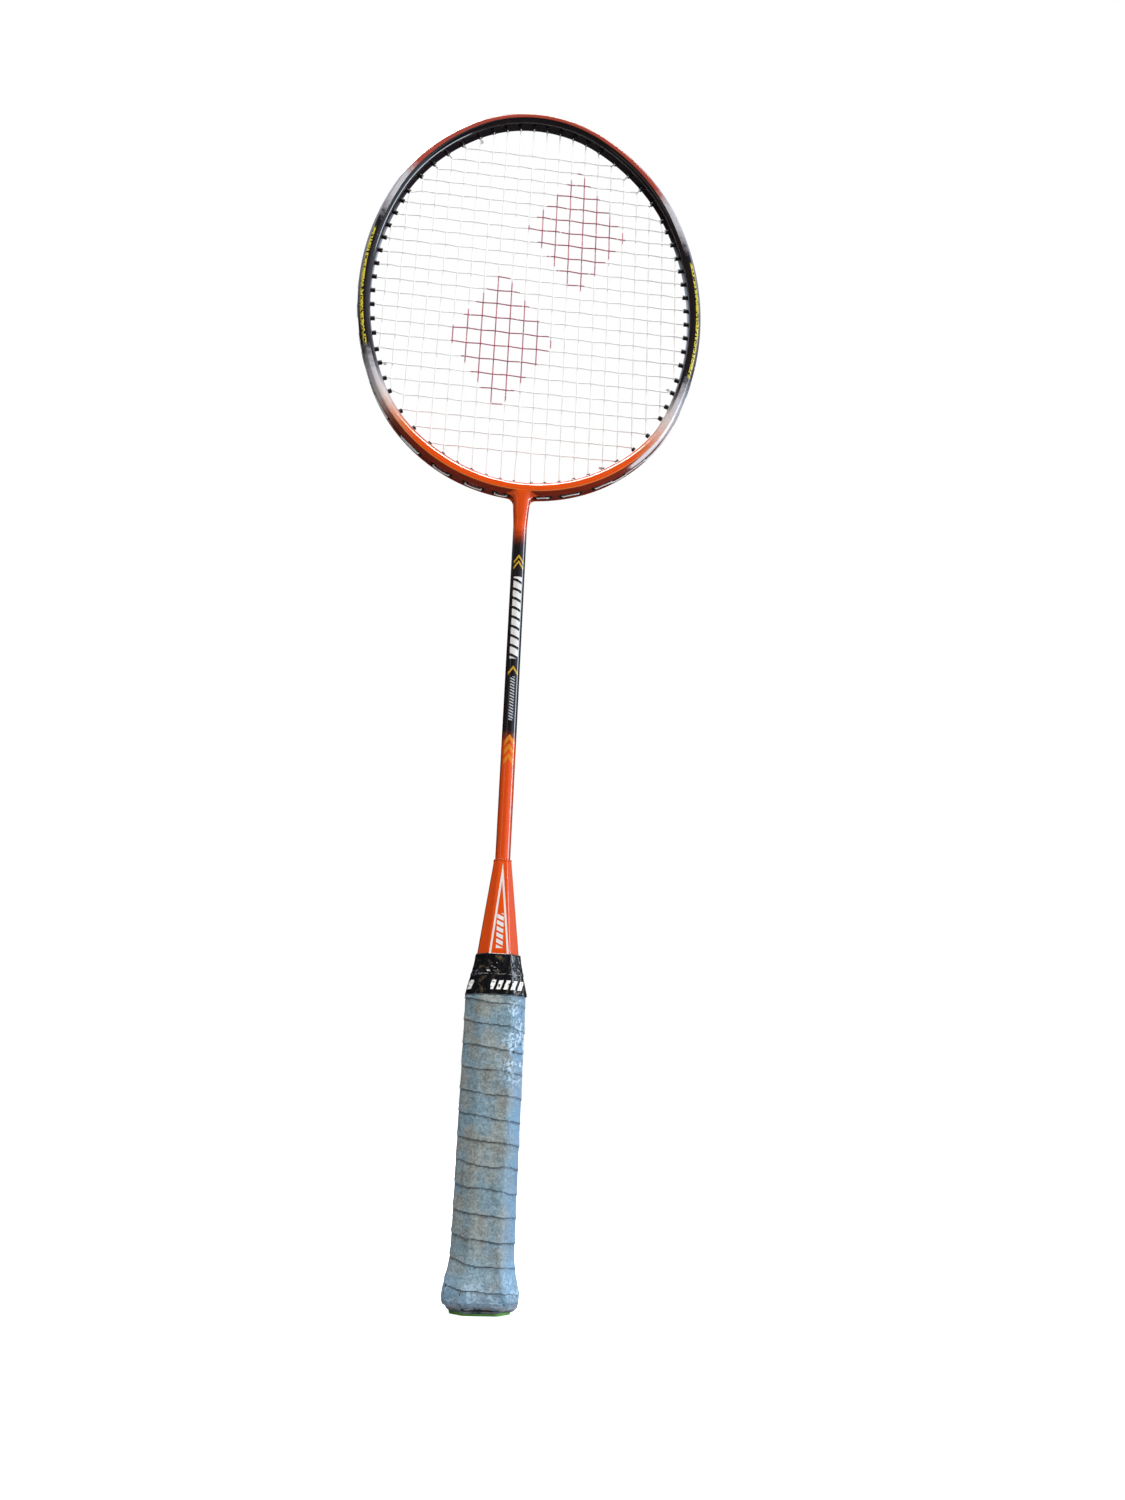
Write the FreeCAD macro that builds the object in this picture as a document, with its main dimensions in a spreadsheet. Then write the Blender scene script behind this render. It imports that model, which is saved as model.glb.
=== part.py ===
import FreeCAD, Part
import math
import os

import Sketcher
from FreeCAD import Placement, Rotation, Vector

# A badminton racket that stands on its butt end. The shaft's axis is Z, the width of the head is
# along X and the strings lie in the plane Y = 0. Lengths are in millimetres, angles in degrees.

DRIVING_SIZES = (
    ("total_length", 671.0, "butt face to the outside of the crown"),
    # head outline: the radii of the outer edge, from the crown down to the throat
    ("crown_radius", 73.5, "outer radius at the crown"),
    ("upper_shoulder_radius", 119.0, "outer radius of the upper shoulders"),
    ("side_radius", 178.5, "outer radius of the sides"),
    ("lower_shoulder_radius", 100.0, "outer radius of the lower shoulders"),
    ("crown_end", 32.0, "turn from the top at which the crown arc ends"),
    ("upper_shoulder_end", 66.0, "turn at which the upper shoulder arc ends"),
    ("side_end", 112.0, "turn at which the side arc ends"),
    ("lower_shoulder_end", 146.0, "turn at which the lower shoulder arc ends"),
    # rim section
    ("rim_width", 8.6, "rim measured in the plane of the strings"),
    ("rim_depth", 10.4, "rim measured across the plane of the strings"),
    ("rim_corner", 3.2, "corner radius of the rim section"),
    ("rim_wall", 1.1, "wall of the hollow rim"),
    ("hollow_corner", 1.6, "corner radius of the hollow"),
    ("groove_width", 5.2, "string groove in the outer wall"),
    ("groove_depth", 1.0, "depth of the string groove"),
    # throat
    ("joint_half_angle", 4.3, "half of the throat moulding's angle in the hoop"),
    ("insert_half_angle", 15.0, "half of the T-joint bar's angle"),
    ("insert_clearance", 0.1, "gap between the T-joint bar and the hollow"),
    ("neck_base", 388.0, "height at which the shaft meets the throat moulding"),
    ("stem_base", 362.0, "lower end of the T-joint stem, inside the shaft"),
    # shaft and cone
    ("shaft_diameter", 7.5, "outside of the shaft"),
    ("shaft_bore", 5.3, "inside of the shaft"),
    ("shaft_base", 62.0, "lower end of the shaft, inside the handle"),
    ("glue_gap", 0.1, "difference between a glued hole and its shaft, on the diameter"),
    ("cone_base", 150.0, "lower end of the cone cap"),
    ("cone_top", 204.6, "upper end of the cone cap"),
    ("cone_base_width", 21.7, "cone cap across X at its lower end"),
    ("cone_base_depth", 19.2, "cone cap across Y at its lower end"),
    ("cone_top_width", 8.4, "cone cap across its upper end"),
    ("cone_base_bevel", 5.2, "bevel of the cone cap at its lower end"),
    ("cone_top_bevel", 2.4, "bevel of the cone cap at its upper end"),
    ("cone_wall", 1.5, "wall of the cone cap"),
    ("cone_hollow_top", 190.0, "upper end of the hollow in the cone cap"),
    # handle
    ("handle_width", 25.0, "wooden handle across X"),
    ("handle_depth", 22.0, "wooden handle across Y"),
    ("handle_bevel", 6.0, "bevel of the wooden handle"),
    ("nose_bevel_share", 0.24, "bevel of nose and spigot, as a share of their width"),
    ("taper_base", 137.0, "height at which the handle starts to narrow"),
    ("nose_base_width", 18.4, "wooden nose across X where it enters the cone cap"),
    ("nose_base_depth", 15.9, "wooden nose across Y where it enters the cone cap"),
    ("nose_top_width", 13.4, "wooden nose across X at its end"),
    ("nose_top_depth", 11.6, "wooden nose across Y at its end"),
    ("nose_top", 170.0, "upper end of the wooden nose"),
    ("spigot_width", 20.0, "spigot under the butt cap, across X"),
    ("spigot_depth", 17.0, "spigot under the butt cap, across Y"),
    ("spigot_base", 4.0, "lower end of the spigot"),
    ("spigot_gap", 0.2, "difference between the spigot and its socket"),
    ("butt_base", 2.0, "underside of the butt cap, and thickness of the end disc"),
    ("butt_top", 22.0, "upper end of the butt cap"),
    ("butt_flare", 5.6, "extra width of the butt cap where it is widest"),
    ("disc_width", 27.0, "end disc across X"),
    ("disc_depth", 24.0, "end disc across Y"),
    # wraps
    ("base_grip_thickness", 1.3, "replacement grip glued to the wood"),
    ("overgrip_thickness", 0.85, "wrapped overgrip"),
    ("base_grip_top", 146.0, "upper edge of the base grip"),
    ("overgrip_base", 1.2, "lower edge of the overgrip"),
    ("overgrip_top", 147.8, "upper edge of the overgrip"),
    ("tape_thickness", 0.4, "finishing tape"),
    ("lower_tape_base", 138.0, "lower edge of the lower finishing tape"),
    ("tape_boundary", 148.0, "height at which the two tapes meet"),
    ("upper_tape_top", 157.4, "upper edge of the upper finishing tape"),
    # strings and grommets
    ("string_diameter", 0.7, "string"),
    ("string_bend", 0.5, "smallest bend radius of a string's centre line"),
    ("main_pitch", 8.07, "distance between neighbouring main strings"),
    ("throat_spread", 0.5, "sideways shift of the two centre mains at the throat"),
    ("first_cross", 640.8, "height of the topmost cross string"),
    ("cross_pitch", 8.79, "distance from the first cross to the second"),
    ("cross_pitch_growth", 0.024, "growth of that distance, times the square of the index"),
    ("weave", 0.38, "distance of a string's centre from the bed plane at a crossing"),
    ("outside_lane", 0.82, "distance from the bed plane of the runs in the groove"),
    ("shared_hole_reach", 7.3, "a main and a cross that end closer than this share a hole"),
    ("barrel_radius", 1.25, "grommet barrel"),
    ("barrel_bore", 0.8, "radius of the hole in a grommet"),
    ("barrel_tip", 1.2, "how far a grommet stands out of the inner wall"),
    ("flange_radius", 1.75, "grommet flange in the groove"),
    ("flange_thickness", 0.45, "grommet flange"),
    ("drill_gap", 0.03, "radial gap between a grommet barrel and its hole"),
    ("neck_lean", 2.2, "turn by which the grommets beside the neck lean away from it"),
    ("next_lean", 1.0, "lean of the next grommet out"),
    ("knot_radius", 1.0, "knot at a string's end"),
)

MAINS = 22
CROSSES = 23

# Small construction lengths in millimetres, and shares of other lengths.
WRAP_GAP = 0.02
RUN_CLEARANCE = 0.02
RUN_STEP = 4.0
KNOT_SHIFT = 1.5
KNOT_REACH = 1.8
OVERSHOOT = 0.3
LONGEST_TANGENT = 0.45
AXIS_HALF_LENGTH = 10.0
BISECTIONS = 40

# Flare of the butt: height above the butt cap's underside, and share of the full flare.
FLARE_SHAPE = ((0.0, 0.3), (3.0, 1.0), (6.5, 1.0), (11.0, 0.68), (15.0, 0.32), (20.0, 0.04))

# Neck of the throat moulding: height above its base, half width along X and half depth along Y,
# each as growth over the shaft's radius.
NECK_SHAPE = (
    (0.0, 0.02, 0.0),
    (7.0, 0.15, 0.1),
    (12.0, 0.45, 0.35),
    (15.2, 0.8, 0.7),
    (17.2, 1.3, 0.95),
    (18.6, 2.0, 1.1),
    (19.8, 2.65, 1.15),
)

# How much a 45-degree bevel shrinks when all sides of its octagon move in by one unit.
BEVEL_OFFSET = round(2 - math.sqrt(2), 5)
NOSE_BEVEL = "Sizes.nose_base_width * Sizes.nose_bevel_share"

doc = FreeCAD.newDocument("badminton_racket")
sheet = doc.addObject("Spreadsheet::Sheet", "Sizes")


def write_sizes(rows, first_row):
    """Write (name, number, meaning) rows to the sheet and give each number its alias."""
    for row, (name, number, meaning) in enumerate(rows, start=first_row):
        sheet.set(f"A{row}", meaning)
        sheet.set(f"B{row}", str(number))
        sheet.setAlias(f"B{row}", name)
    doc.recompute()


def size(name):
    """A number of the sheet, by its alias."""
    return float(getattr(sheet, name))


def value(expression):
    """What an expression over the sheet's aliases gives now."""
    return float(sheet.evalExpression(expression.replace("Sizes.", "")))


# ---------------------------------------------------------------- head outline


class RimArc:
    """One arc of the right half of the head outline, between two turns from the top."""

    def __init__(self, start, end, centre_x, centre_z, radius):
        self.start = start
        self.end = end
        self.centre_x = centre_x
        self.centre_z = centre_z
        self.radius = radius


def outline_arcs():
    """Five arcs, each tangent to the next; the last one's radius closes the outline."""
    ends = [size(n) for n in ("crown_end", "upper_shoulder_end", "side_end", "lower_shoulder_end")]
    names = ("crown_radius", "upper_shoulder_radius", "side_radius", "lower_shoulder_radius")
    radii = [size(n) for n in names]
    arcs = [RimArc(0.0, ends[0], 0.0, size("total_length") - radii[0], radii[0])]
    for start, end, radius in zip(ends, ends[1:], radii[1:]):
        arcs.append(next_arc(arcs[-1], start, end, radius))
    last = arcs[-1]
    closing_radius = last.radius + last.centre_x / math.sin(math.radians(last.end))
    arcs.append(next_arc(last, last.end, 180.0, closing_radius))
    return arcs


def next_arc(before, start, end, radius):
    """The arc of this radius that goes on from another with the same tangent."""
    turn = math.radians(start)
    centre_x = before.centre_x + (before.radius - radius) * math.sin(turn)
    centre_z = before.centre_z + (before.radius - radius) * math.cos(turn)
    return RimArc(start, end, centre_x, centre_z, radius)


def rim_point(turn, offset, side=1, across=0.0):
    """A point at this turn from the top, offset outwards from the outline, on the side +1 or -1."""
    arc = next(a for a in ARCS if turn <= a.end)
    reach = arc.radius + offset
    x = arc.centre_x + reach * math.sin(math.radians(turn))
    z = arc.centre_z + reach * math.cos(math.radians(turn))
    return Vector(side * x, across, z)


def rim_normal(turn, side=1):
    """The outward direction at this turn."""
    return Vector(side * math.sin(math.radians(turn)), 0, math.cos(math.radians(turn)))


# ---------------------------------------------------------------- document helpers


def new_body(label):
    body = doc.addObject("PartDesign::Body", label)
    body.Label = label
    return body


def new_sketch(body, name, role, height=None):
    """A sketch on one of the body's origin planes, raised by an expression if one is given."""
    sketch = body.newObject("Sketcher::SketchObject", name)
    plane = next(f for f in body.Origin.OriginFeatures if f.Role == role)
    sketch.AttachmentSupport = [(plane, "")]
    sketch.MapMode = "FlatFace"
    if height:
        sketch.setExpression("AttachmentOffset.Base.z", height)
    return sketch


def bind(sketch, kind, where, expression):
    """Add a dimension that follows an expression of the sheet."""
    index = sketch.addConstraint(Sketcher.Constraint(kind, *where, value(expression)))
    sketch.setExpression(f"Constraints[{index}]", expression)


def octagon(body, name, height, width, depth, bevel):
    """An octagon round the shaft axis: width along X, depth along Y, bevelled corners."""
    sketch = new_sketch(body, name, "XY_Plane", height)
    half_width = value(width) / 2
    half_depth = value(depth) / 2
    cut = value(bevel)
    quarter = [(half_width, half_depth - cut), (half_width - cut, half_depth)]
    corners = quarter + [(-x, y) for x, y in reversed(quarter)]
    corners += [(-x, -y) for x, y in corners]
    points = [Vector(x, y, 0) for x, y in corners]
    for index, point in enumerate(points):
        sketch.addGeometry(Part.LineSegment(point, points[(index + 1) % 8]))
    for index in range(8):
        joint = Sketcher.Constraint("Coincident", index, 2, (index + 1) % 8, 1)
        sketch.addConstraint(joint)
    vertical_axis = -2
    horizontal_axis = -1
    mirrors = ((0, 3, vertical_axis), (1, 2, vertical_axis), (0, 7, horizontal_axis))
    mirrors += ((1, 6, horizontal_axis), (3, 4, horizontal_axis), (2, 5, horizontal_axis))
    for first, second, axis in mirrors:
        sketch.addConstraint(Sketcher.Constraint("Symmetric", first, 1, second, 1, axis))
    bind(sketch, "DistanceX", (3, 1, 0, 1), width)
    bind(sketch, "DistanceX", (2, 1, 1, 1), f"{width} - 2 * ({bevel})")
    bind(sketch, "DistanceY", (6, 1, 1, 1), depth)
    bind(sketch, "DistanceY", (7, 1, 0, 1), f"{depth} - 2 * ({bevel})")
    return sketch


def circle(body, name, height, diameter):
    """A circle round the shaft axis."""
    sketch = new_sketch(body, name, "XY_Plane", height)
    sketch.addGeometry(Part.Circle(Vector(), Vector(0, 0, 1), value(diameter) / 2))
    sketch.addConstraint(Sketcher.Constraint("Coincident", 0, 3, -1, 1))
    bind(sketch, "Diameter", (0,), diameter)
    return sketch


def rounded_rectangle(body, name, middle, across, tall, corner):
    """A rectangle with round corners in the plane X = 0, centred at the height `middle`."""
    sketch = new_sketch(body, name, "YZ_Plane")
    radius = value(corner)
    flat_y = value(across) / 2 - radius
    flat_z = value(tall) / 2 - radius
    centre = value(middle)
    normal = Vector(0, 0, 1)
    signs = ((1, 1), (-1, 1), (-1, -1), (1, -1))
    for quarter, (sign_y, sign_z) in enumerate(signs):
        round_corner = Part.Circle(Vector(sign_y * flat_y, centre + sign_z * flat_z, 0), normal, radius)
        start = quarter * math.pi / 2
        sketch.addGeometry(Part.ArcOfCircle(round_corner, start, start + math.pi / 2))
    for quarter in range(4):
        following = (quarter + 1) % 4
        start = sketch.getPoint(quarter, 2)
        end = sketch.getPoint(following, 1)
        line = sketch.addGeometry(Part.LineSegment(start, end))
        sketch.addConstraint(Sketcher.Constraint("Tangent", quarter, 2, line, 1))
        sketch.addConstraint(Sketcher.Constraint("Tangent", line, 2, following, 1))
        sketch.addConstraint(Sketcher.Constraint("Horizontal" if quarter % 2 == 0 else "Vertical", line))
    # the symmetry below already makes the two upper corners equal
    for quarter in (1, 2):
        sketch.addConstraint(Sketcher.Constraint("Equal", quarter, quarter + 1))
    bind(sketch, "Radius", (0,), corner)
    sketch.addConstraint(Sketcher.Constraint("Symmetric", 0, 3, 1, 3, -2))
    bind(sketch, "DistanceX", (1, 3, 0, 3), f"{across} - 2 * ({corner})")
    bind(sketch, "DistanceY", (3, 3, 0, 3), f"{tall} - 2 * ({corner})")
    bind(sketch, "DistanceY", (-1, 1, 0, 3), f"{middle} + ({tall}) / 2 - ({corner})")
    return sketch


def feature(body, kind, name, sketch, **settings):
    """A PartDesign feature of a sketch; text settings are expressions, others are values."""
    made = body.newObject(f"PartDesign::{kind}", name)
    made.Profile = sketch
    for setting, content in settings.items():
        if isinstance(content, str):
            made.setExpression(setting, content)
        else:
            setattr(made, setting, content)
    sketch.Visibility = False
    return made


def loft(body, name, sketches, kind="AdditiveLoft"):
    """A loft with flat sides through the sketches, in their order."""
    made = feature(body, kind, name, sketches[0], Ruled=True)
    made.Sections = sketches[1:]
    return made


def cut(label, base, tool):
    made = doc.addObject("Part::Cut", label)
    made.Label = label
    made.Base = base
    made.Tool = tool
    return made


def shape_object(label, shape):
    made = doc.addObject("Part::Feature", label)
    made.Label = label
    made.Shape = shape
    return made


# ---------------------------------------------------------------- hoop and throat

SECTION_MIDDLE = "Sizes.total_length - Sizes.rim_width / 2"
HOLLOW_ACROSS = "Sizes.rim_depth - 2 * Sizes.rim_wall"
HOLLOW_TALL = "Sizes.rim_width - Sizes.groove_depth - 2 * Sizes.rim_wall"
HOLLOW_MIDDLE = "Sizes.total_length - Sizes.rim_width / 2 - Sizes.groove_depth / 2"


def half_hoop_path(body):
    """Centre line of the rim's right half: five tangent arcs from the crown to the throat."""
    sketch = new_sketch(body, "hoop_path", "XZ_Plane")
    inset = size("rim_width") / 2
    last_turn = 180 - size("joint_half_angle")
    names = ("crown", "upper_shoulder", "side", "lower_shoulder", "throat")
    for index, (arc, name) in enumerate(zip(ARCS, names)):
        end_turn = min(arc.end, last_turn)
        middle = Vector(arc.centre_x, arc.centre_z, 0)
        ring = Part.Circle(middle, Vector(0, 0, 1), arc.radius - inset)
        # turns run clockwise from the top, sketch angles anticlockwise from the X axis
        angles = (math.radians(90 - end_turn), math.radians(90 - arc.start))
        sketch.addGeometry(Part.ArcOfCircle(ring, *angles))
        if index:
            sketch.addConstraint(Sketcher.Constraint("Tangent", index - 1, 1, index, 2))
        bind(sketch, "Radius", (index,), f"Sizes.{name}_radius - Sizes.rim_width / 2")
    vertical_axis = -2
    sketch.addConstraint(Sketcher.Constraint("PointOnObject", 0, 3, vertical_axis))
    sketch.addConstraint(Sketcher.Constraint("PointOnObject", 0, 2, vertical_axis))
    bind(sketch, "DistanceY", (-1, 1, 0, 3), "Sizes.total_length - Sizes.crown_radius")
    return sketch


def hoop_tube():
    """The hollow rim with its groove, open at the throat, before the holes are drilled."""
    body = new_body("hoop_tube")
    path = half_hoop_path(body)
    outside = rounded_rectangle(
        body, "rim_section", SECTION_MIDDLE, "Sizes.rim_depth", "Sizes.rim_width", "Sizes.rim_corner"
    )
    hollow = rounded_rectangle(
        body, "rim_hollow", HOLLOW_MIDDLE, HOLLOW_ACROSS, HOLLOW_TALL, "Sizes.hollow_corner"
    )
    groove = rounded_rectangle(
        body,
        "rim_groove",
        "Sizes.total_length",
        "Sizes.groove_width",
        "2 * Sizes.groove_depth",
        "Sizes.groove_depth / 3",
    )
    doc.recompute()
    feature(body, "AdditivePipe", "rim_pipe", outside, Spine=path)
    feature(body, "SubtractivePipe", "hollow_pipe", hollow, Spine=path)
    feature(body, "SubtractivePipe", "groove_pipe", groove, Spine=path)
    doc.recompute()
    mirror = body.newObject("PartDesign::Mirrored", "left_half")
    mirror.Originals = []
    mirror.MirrorPlane = (next(f for f in body.Origin.OriginFeatures if f.Role == "YZ_Plane"), [""])
    mirror.TransformMode = "Whole shape"
    body.Tip = mirror
    return body


def throat_sector(body, name, sketch, half_angle):
    """Turn a section at the throat about the centre of the throat arc, to both sides."""
    height = "Sizes.throat_centre"
    axis_height = value(height)
    left_end = Vector(-AXIS_HALF_LENGTH, axis_height, 0)
    line = Part.LineSegment(left_end, Vector(AXIS_HALF_LENGTH, axis_height, 0))
    axis = sketch.addGeometry(line, True)
    sketch.addConstraint(Sketcher.Constraint("Horizontal", axis))
    bind(sketch, "DistanceY", (-1, 1, axis, 1), height)
    bind(sketch, "DistanceX", (axis, 1, -1, 1), f"{AXIS_HALF_LENGTH}")
    bind(sketch, "DistanceX", (axis, 1, axis, 2), f"2 * {AXIS_HALF_LENGTH}")
    sector = feature(body, "Revolution", name, sketch, Midplane=True, Angle=f"2 * ({half_angle})")
    sector.ReferenceAxis = (sketch, ["Axis0"])
    return sector


def t_joint_blank():
    """The T-shaped insert: a curved bar for the hoop's ends and a stem for the shaft."""
    body = new_body("t_joint_blank")
    section = rounded_rectangle(
        body,
        "bar_section",
        "Sizes.throat_outside + Sizes.rim_width / 2 + Sizes.groove_depth / 2",
        f"{HOLLOW_ACROSS} - 2 * Sizes.insert_clearance",
        f"{HOLLOW_TALL} - 2 * Sizes.insert_clearance",
        "Sizes.hollow_corner",
    )
    throat_sector(body, "bar", section, "Sizes.insert_half_angle")
    stem = circle(body, "stem_section", "Sizes.stem_base", "Sizes.shaft_bore - Sizes.glue_gap")
    reach = "Sizes.throat_outside + Sizes.rim_width / 2 - Sizes.stem_base"
    feature(body, "Pad", "stem", stem, Length=reach)
    return body


def throat_bar():
    """The part of the throat moulding that closes the hoop."""
    body = new_body("throat_bar")
    section = rounded_rectangle(
        body,
        "throat_section",
        "Sizes.throat_outside + Sizes.rim_width / 2",
        "Sizes.rim_depth",
        "Sizes.rim_width",
        "Sizes.rim_corner",
    )
    throat_sector(body, "throat_arc", section, "Sizes.joint_half_angle")
    return body


def neck():
    """The neck that swells from the round shaft into the hoop."""
    sections = []
    for index, (rise, extra_width, extra_depth) in enumerate(NECK_SHAPE):
        ring = doc.addObject("Part::Ellipse", f"neck_ring_{index}")
        ring.setExpression("MajorRadius", f"Sizes.shaft_diameter / 2 + {extra_width}")
        ring.setExpression("MinorRadius", f"Sizes.shaft_diameter / 2 + {extra_depth}")
        ring.setExpression("Placement.Base.z", f"Sizes.neck_base + {rise}")
        sections.append(ring)
    made = doc.addObject("Part::Loft", "neck")
    made.Sections = sections
    made.Solid = True
    return made


def throat_moulding(t_joint):
    """Neck and hoop closure in one moulding, hollow where the T-joint sits."""
    whole = doc.addObject("Part::Fuse", "throat_blank")
    whole.Base = throat_bar()
    whole.Tool = neck()
    return cut("throat_socketed", whole, t_joint)


# ---------------------------------------------------------------- shaft and cone


def shaft():
    body = new_body("shaft")
    length = "Sizes.neck_base - Sizes.shaft_base"
    outside = circle(body, "shaft_outside", "Sizes.shaft_base", "Sizes.shaft_diameter")
    feature(body, "Pad", "shaft_pad", outside, Length=length)
    bore = circle(body, "shaft_inside", "Sizes.shaft_base", "Sizes.shaft_bore")
    feature(body, "Pocket", "shaft_hollow", bore, Length=length, Reversed=True)
    return body


def cone_octagon(body, name, height, inset):
    """The cone cap's outline at a height, moved inwards by an expression."""
    share = f"(({height}) - Sizes.cone_base) / (Sizes.cone_top - Sizes.cone_base)"
    width = f"Sizes.cone_base_width + (Sizes.cone_top_width - Sizes.cone_base_width) * {share}"
    depth = f"Sizes.cone_base_depth + (Sizes.cone_top_width - Sizes.cone_base_depth) * {share}"
    bevel = f"Sizes.cone_base_bevel + (Sizes.cone_top_bevel - Sizes.cone_base_bevel) * {share}"
    width = f"{width} - 2 * ({inset})"
    depth = f"{depth} - 2 * ({inset})"
    return octagon(body, name, height, width, depth, f"{bevel} - {BEVEL_OFFSET} * ({inset})")


def cone_cap():
    """The plastic cone between handle and shaft: an eight-sided shell."""
    body = new_body("cone_cap")
    foot = cone_octagon(body, "cone_foot", "Sizes.cone_base", "0")
    head = cone_octagon(body, "cone_head", "Sizes.cone_top", "0")
    loft(body, "cone_outside", [foot, head])
    mouth = cone_octagon(body, "hollow_foot", "Sizes.cone_base", "Sizes.cone_wall")
    roof = cone_octagon(body, "hollow_head", "Sizes.cone_hollow_top", "Sizes.cone_wall")
    loft(body, "cone_hollow", [mouth, roof], "SubtractiveLoft")
    bore = circle(body, "cone_bore", "Sizes.cone_base", "Sizes.shaft_diameter + Sizes.glue_gap")
    length = "Sizes.cone_top - Sizes.cone_base"
    feature(body, "Pocket", "cone_hole", bore, Length=length, Reversed=True)
    return body


# ---------------------------------------------------------------- handle


def handle_core():
    """The bevelled wooden handle, bored for the shaft, before it is split into halves."""
    body = new_body("handle_core")
    full = ("Sizes.handle_width", "Sizes.handle_depth", "Sizes.handle_bevel")
    nose = ("Sizes.nose_base_width", "Sizes.nose_base_depth", NOSE_BEVEL)
    tip_bevel = "Sizes.nose_top_width * Sizes.nose_bevel_share"
    tip = ("Sizes.nose_top_width", "Sizes.nose_top_depth", tip_bevel)
    stations = [
        octagon(body, "core_foot", "Sizes.butt_top", *full),
        octagon(body, "core_taper", "Sizes.taper_base", *full),
        octagon(body, "core_nose", "Sizes.cone_base", *nose),
        octagon(body, "core_tip", "Sizes.nose_top", *tip),
    ]
    loft(body, "core_outside", stations)
    spigot = octagon(
        body,
        "core_spigot",
        "Sizes.spigot_base",
        "Sizes.spigot_width",
        "Sizes.spigot_depth",
        "Sizes.spigot_width * Sizes.nose_bevel_share",
    )
    feature(body, "Pad", "spigot", spigot, Length="Sizes.butt_top - Sizes.spigot_base")
    bore = circle(body, "core_bore", "Sizes.spigot_base", "Sizes.shaft_diameter + Sizes.glue_gap")
    length = "Sizes.nose_top - Sizes.spigot_base"
    feature(body, "Pocket", "core_hole", bore, Length=length, Reversed=True)
    return body


def core_half(label, core, front):
    """One glued half of the wooden handle, in front of or behind the plane Y = 0."""
    block = doc.addObject("Part::Box", f"{label}_block")
    for direction in ("Length", "Width"):
        block.setExpression(direction, "2 * Sizes.handle_width")
    block.setExpression("Height", "Sizes.total_length")
    block.setExpression("Placement.Base.x", "-Sizes.handle_width")
    block.setExpression("Placement.Base.y", "-2 * Sizes.handle_width" if front else "0")
    half = doc.addObject("Part::Common", label)
    half.Label = label
    half.Base = core
    half.Tool = block
    return half


def flare_stations():
    """Height and extra width of the butt cap at each station of its flare."""
    return [(f"Sizes.butt_base + {rise}", f"Sizes.butt_flare * {share}") for rise, share in FLARE_SHAPE]


def butt_cap():
    """The flared plastic cap on the spigot of the handle."""
    body = new_body("butt_cap")
    stations = []
    for index, (height, extra) in enumerate(flare_stations()):
        width = f"Sizes.handle_width + {extra}"
        depth = f"Sizes.handle_depth + {extra}"
        stations.append(octagon(body, f"cap_{index}", height, width, depth, "Sizes.handle_bevel"))
    loft(body, "cap_outside", stations)
    socket = octagon(
        body,
        "cap_socket",
        "Sizes.spigot_base",
        "Sizes.spigot_width + Sizes.spigot_gap",
        "Sizes.spigot_depth + Sizes.spigot_gap",
        "Sizes.spigot_width * Sizes.nose_bevel_share",
    )
    length = "Sizes.butt_top - Sizes.spigot_base"
    feature(body, "Pocket", "socket", socket, Length=length, Reversed=True)
    return body


def butt_cap_disc():
    """The thin coloured plate in the end of the butt, which is the flat face at Z = 0."""
    body = new_body("butt_cap_disc")
    plate = octagon(body, "plate", "0", "Sizes.disc_width", "Sizes.disc_depth", "Sizes.handle_bevel")
    feature(body, "Pad", "disc", plate, Length="Sizes.butt_base")
    return body


# ---------------------------------------------------------------- wraps


def wrapped_octagon(body, name, height, extra, layers):
    """The handle's outline at a height, with a flare and this many millimetres of wrap on it."""
    narrowing = f"max(0; ({height}) - Sizes.taper_base) / (Sizes.cone_base - Sizes.taper_base)"
    growth = f"{extra} + 2 * ({layers})"
    width = f"Sizes.handle_width + (Sizes.nose_base_width - Sizes.handle_width) * {narrowing}"
    depth = f"Sizes.handle_depth + (Sizes.nose_base_depth - Sizes.handle_depth) * {narrowing}"
    bevel = f"Sizes.handle_bevel + ({NOSE_BEVEL} - Sizes.handle_bevel) * {narrowing}"
    bevel = f"{bevel} + {BEVEL_OFFSET} * ({layers})"
    return octagon(body, name, height, f"{width} + {growth}", f"{depth} + {growth}", bevel)


def sleeve(label, stations, inside, outside):
    """A closed sleeve round the handle between two layers, through (height, flare) stations."""
    body = new_body(label)
    shells = (("AdditiveLoft", "outside", outside), ("SubtractiveLoft", "inside", inside))
    for kind, shell, layers in shells:
        sketches = []
        for index, (height, extra) in enumerate(stations):
            name = f"{label}_{shell}_{index}"
            sketches.append(wrapped_octagon(body, name, height, extra, layers))
        loft(body, f"{label}_{shell}", sketches, kind)
    return body


def grip(label, base, top, inside, outside):
    """A grip from its lower edge, over the flare of the butt and up to its upper edge."""
    flare = flare_stations()
    stations = [(base, flare[0][1])] + flare[1:-1]
    stations += [("Sizes.butt_top + 2", "0"), ("Sizes.taper_base", "0"), (top, "0")]
    return sleeve(label, stations, inside, outside)


def wraps():
    """Base grip, overgrip and the lower finishing tape, each on top of the one before."""
    wood = "Sizes.glue_gap / 2"
    base = "Sizes.base_grip_thickness"
    over = f"{base} + Sizes.overgrip_thickness"
    tape = f"{over} + Sizes.tape_thickness"
    tape_stations = [("Sizes.lower_tape_base", "0"), ("Sizes.tape_boundary", "0")]
    return [
        grip("base_grip", "Sizes.butt_base", "Sizes.base_grip_top", wood, base),
        grip("overgrip", "Sizes.overgrip_base", "Sizes.overgrip_top", f"{base} + {WRAP_GAP}", over),
        sleeve("finishing_tape_lower", tape_stations, f"{over} + {WRAP_GAP}", tape),
    ]


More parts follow.
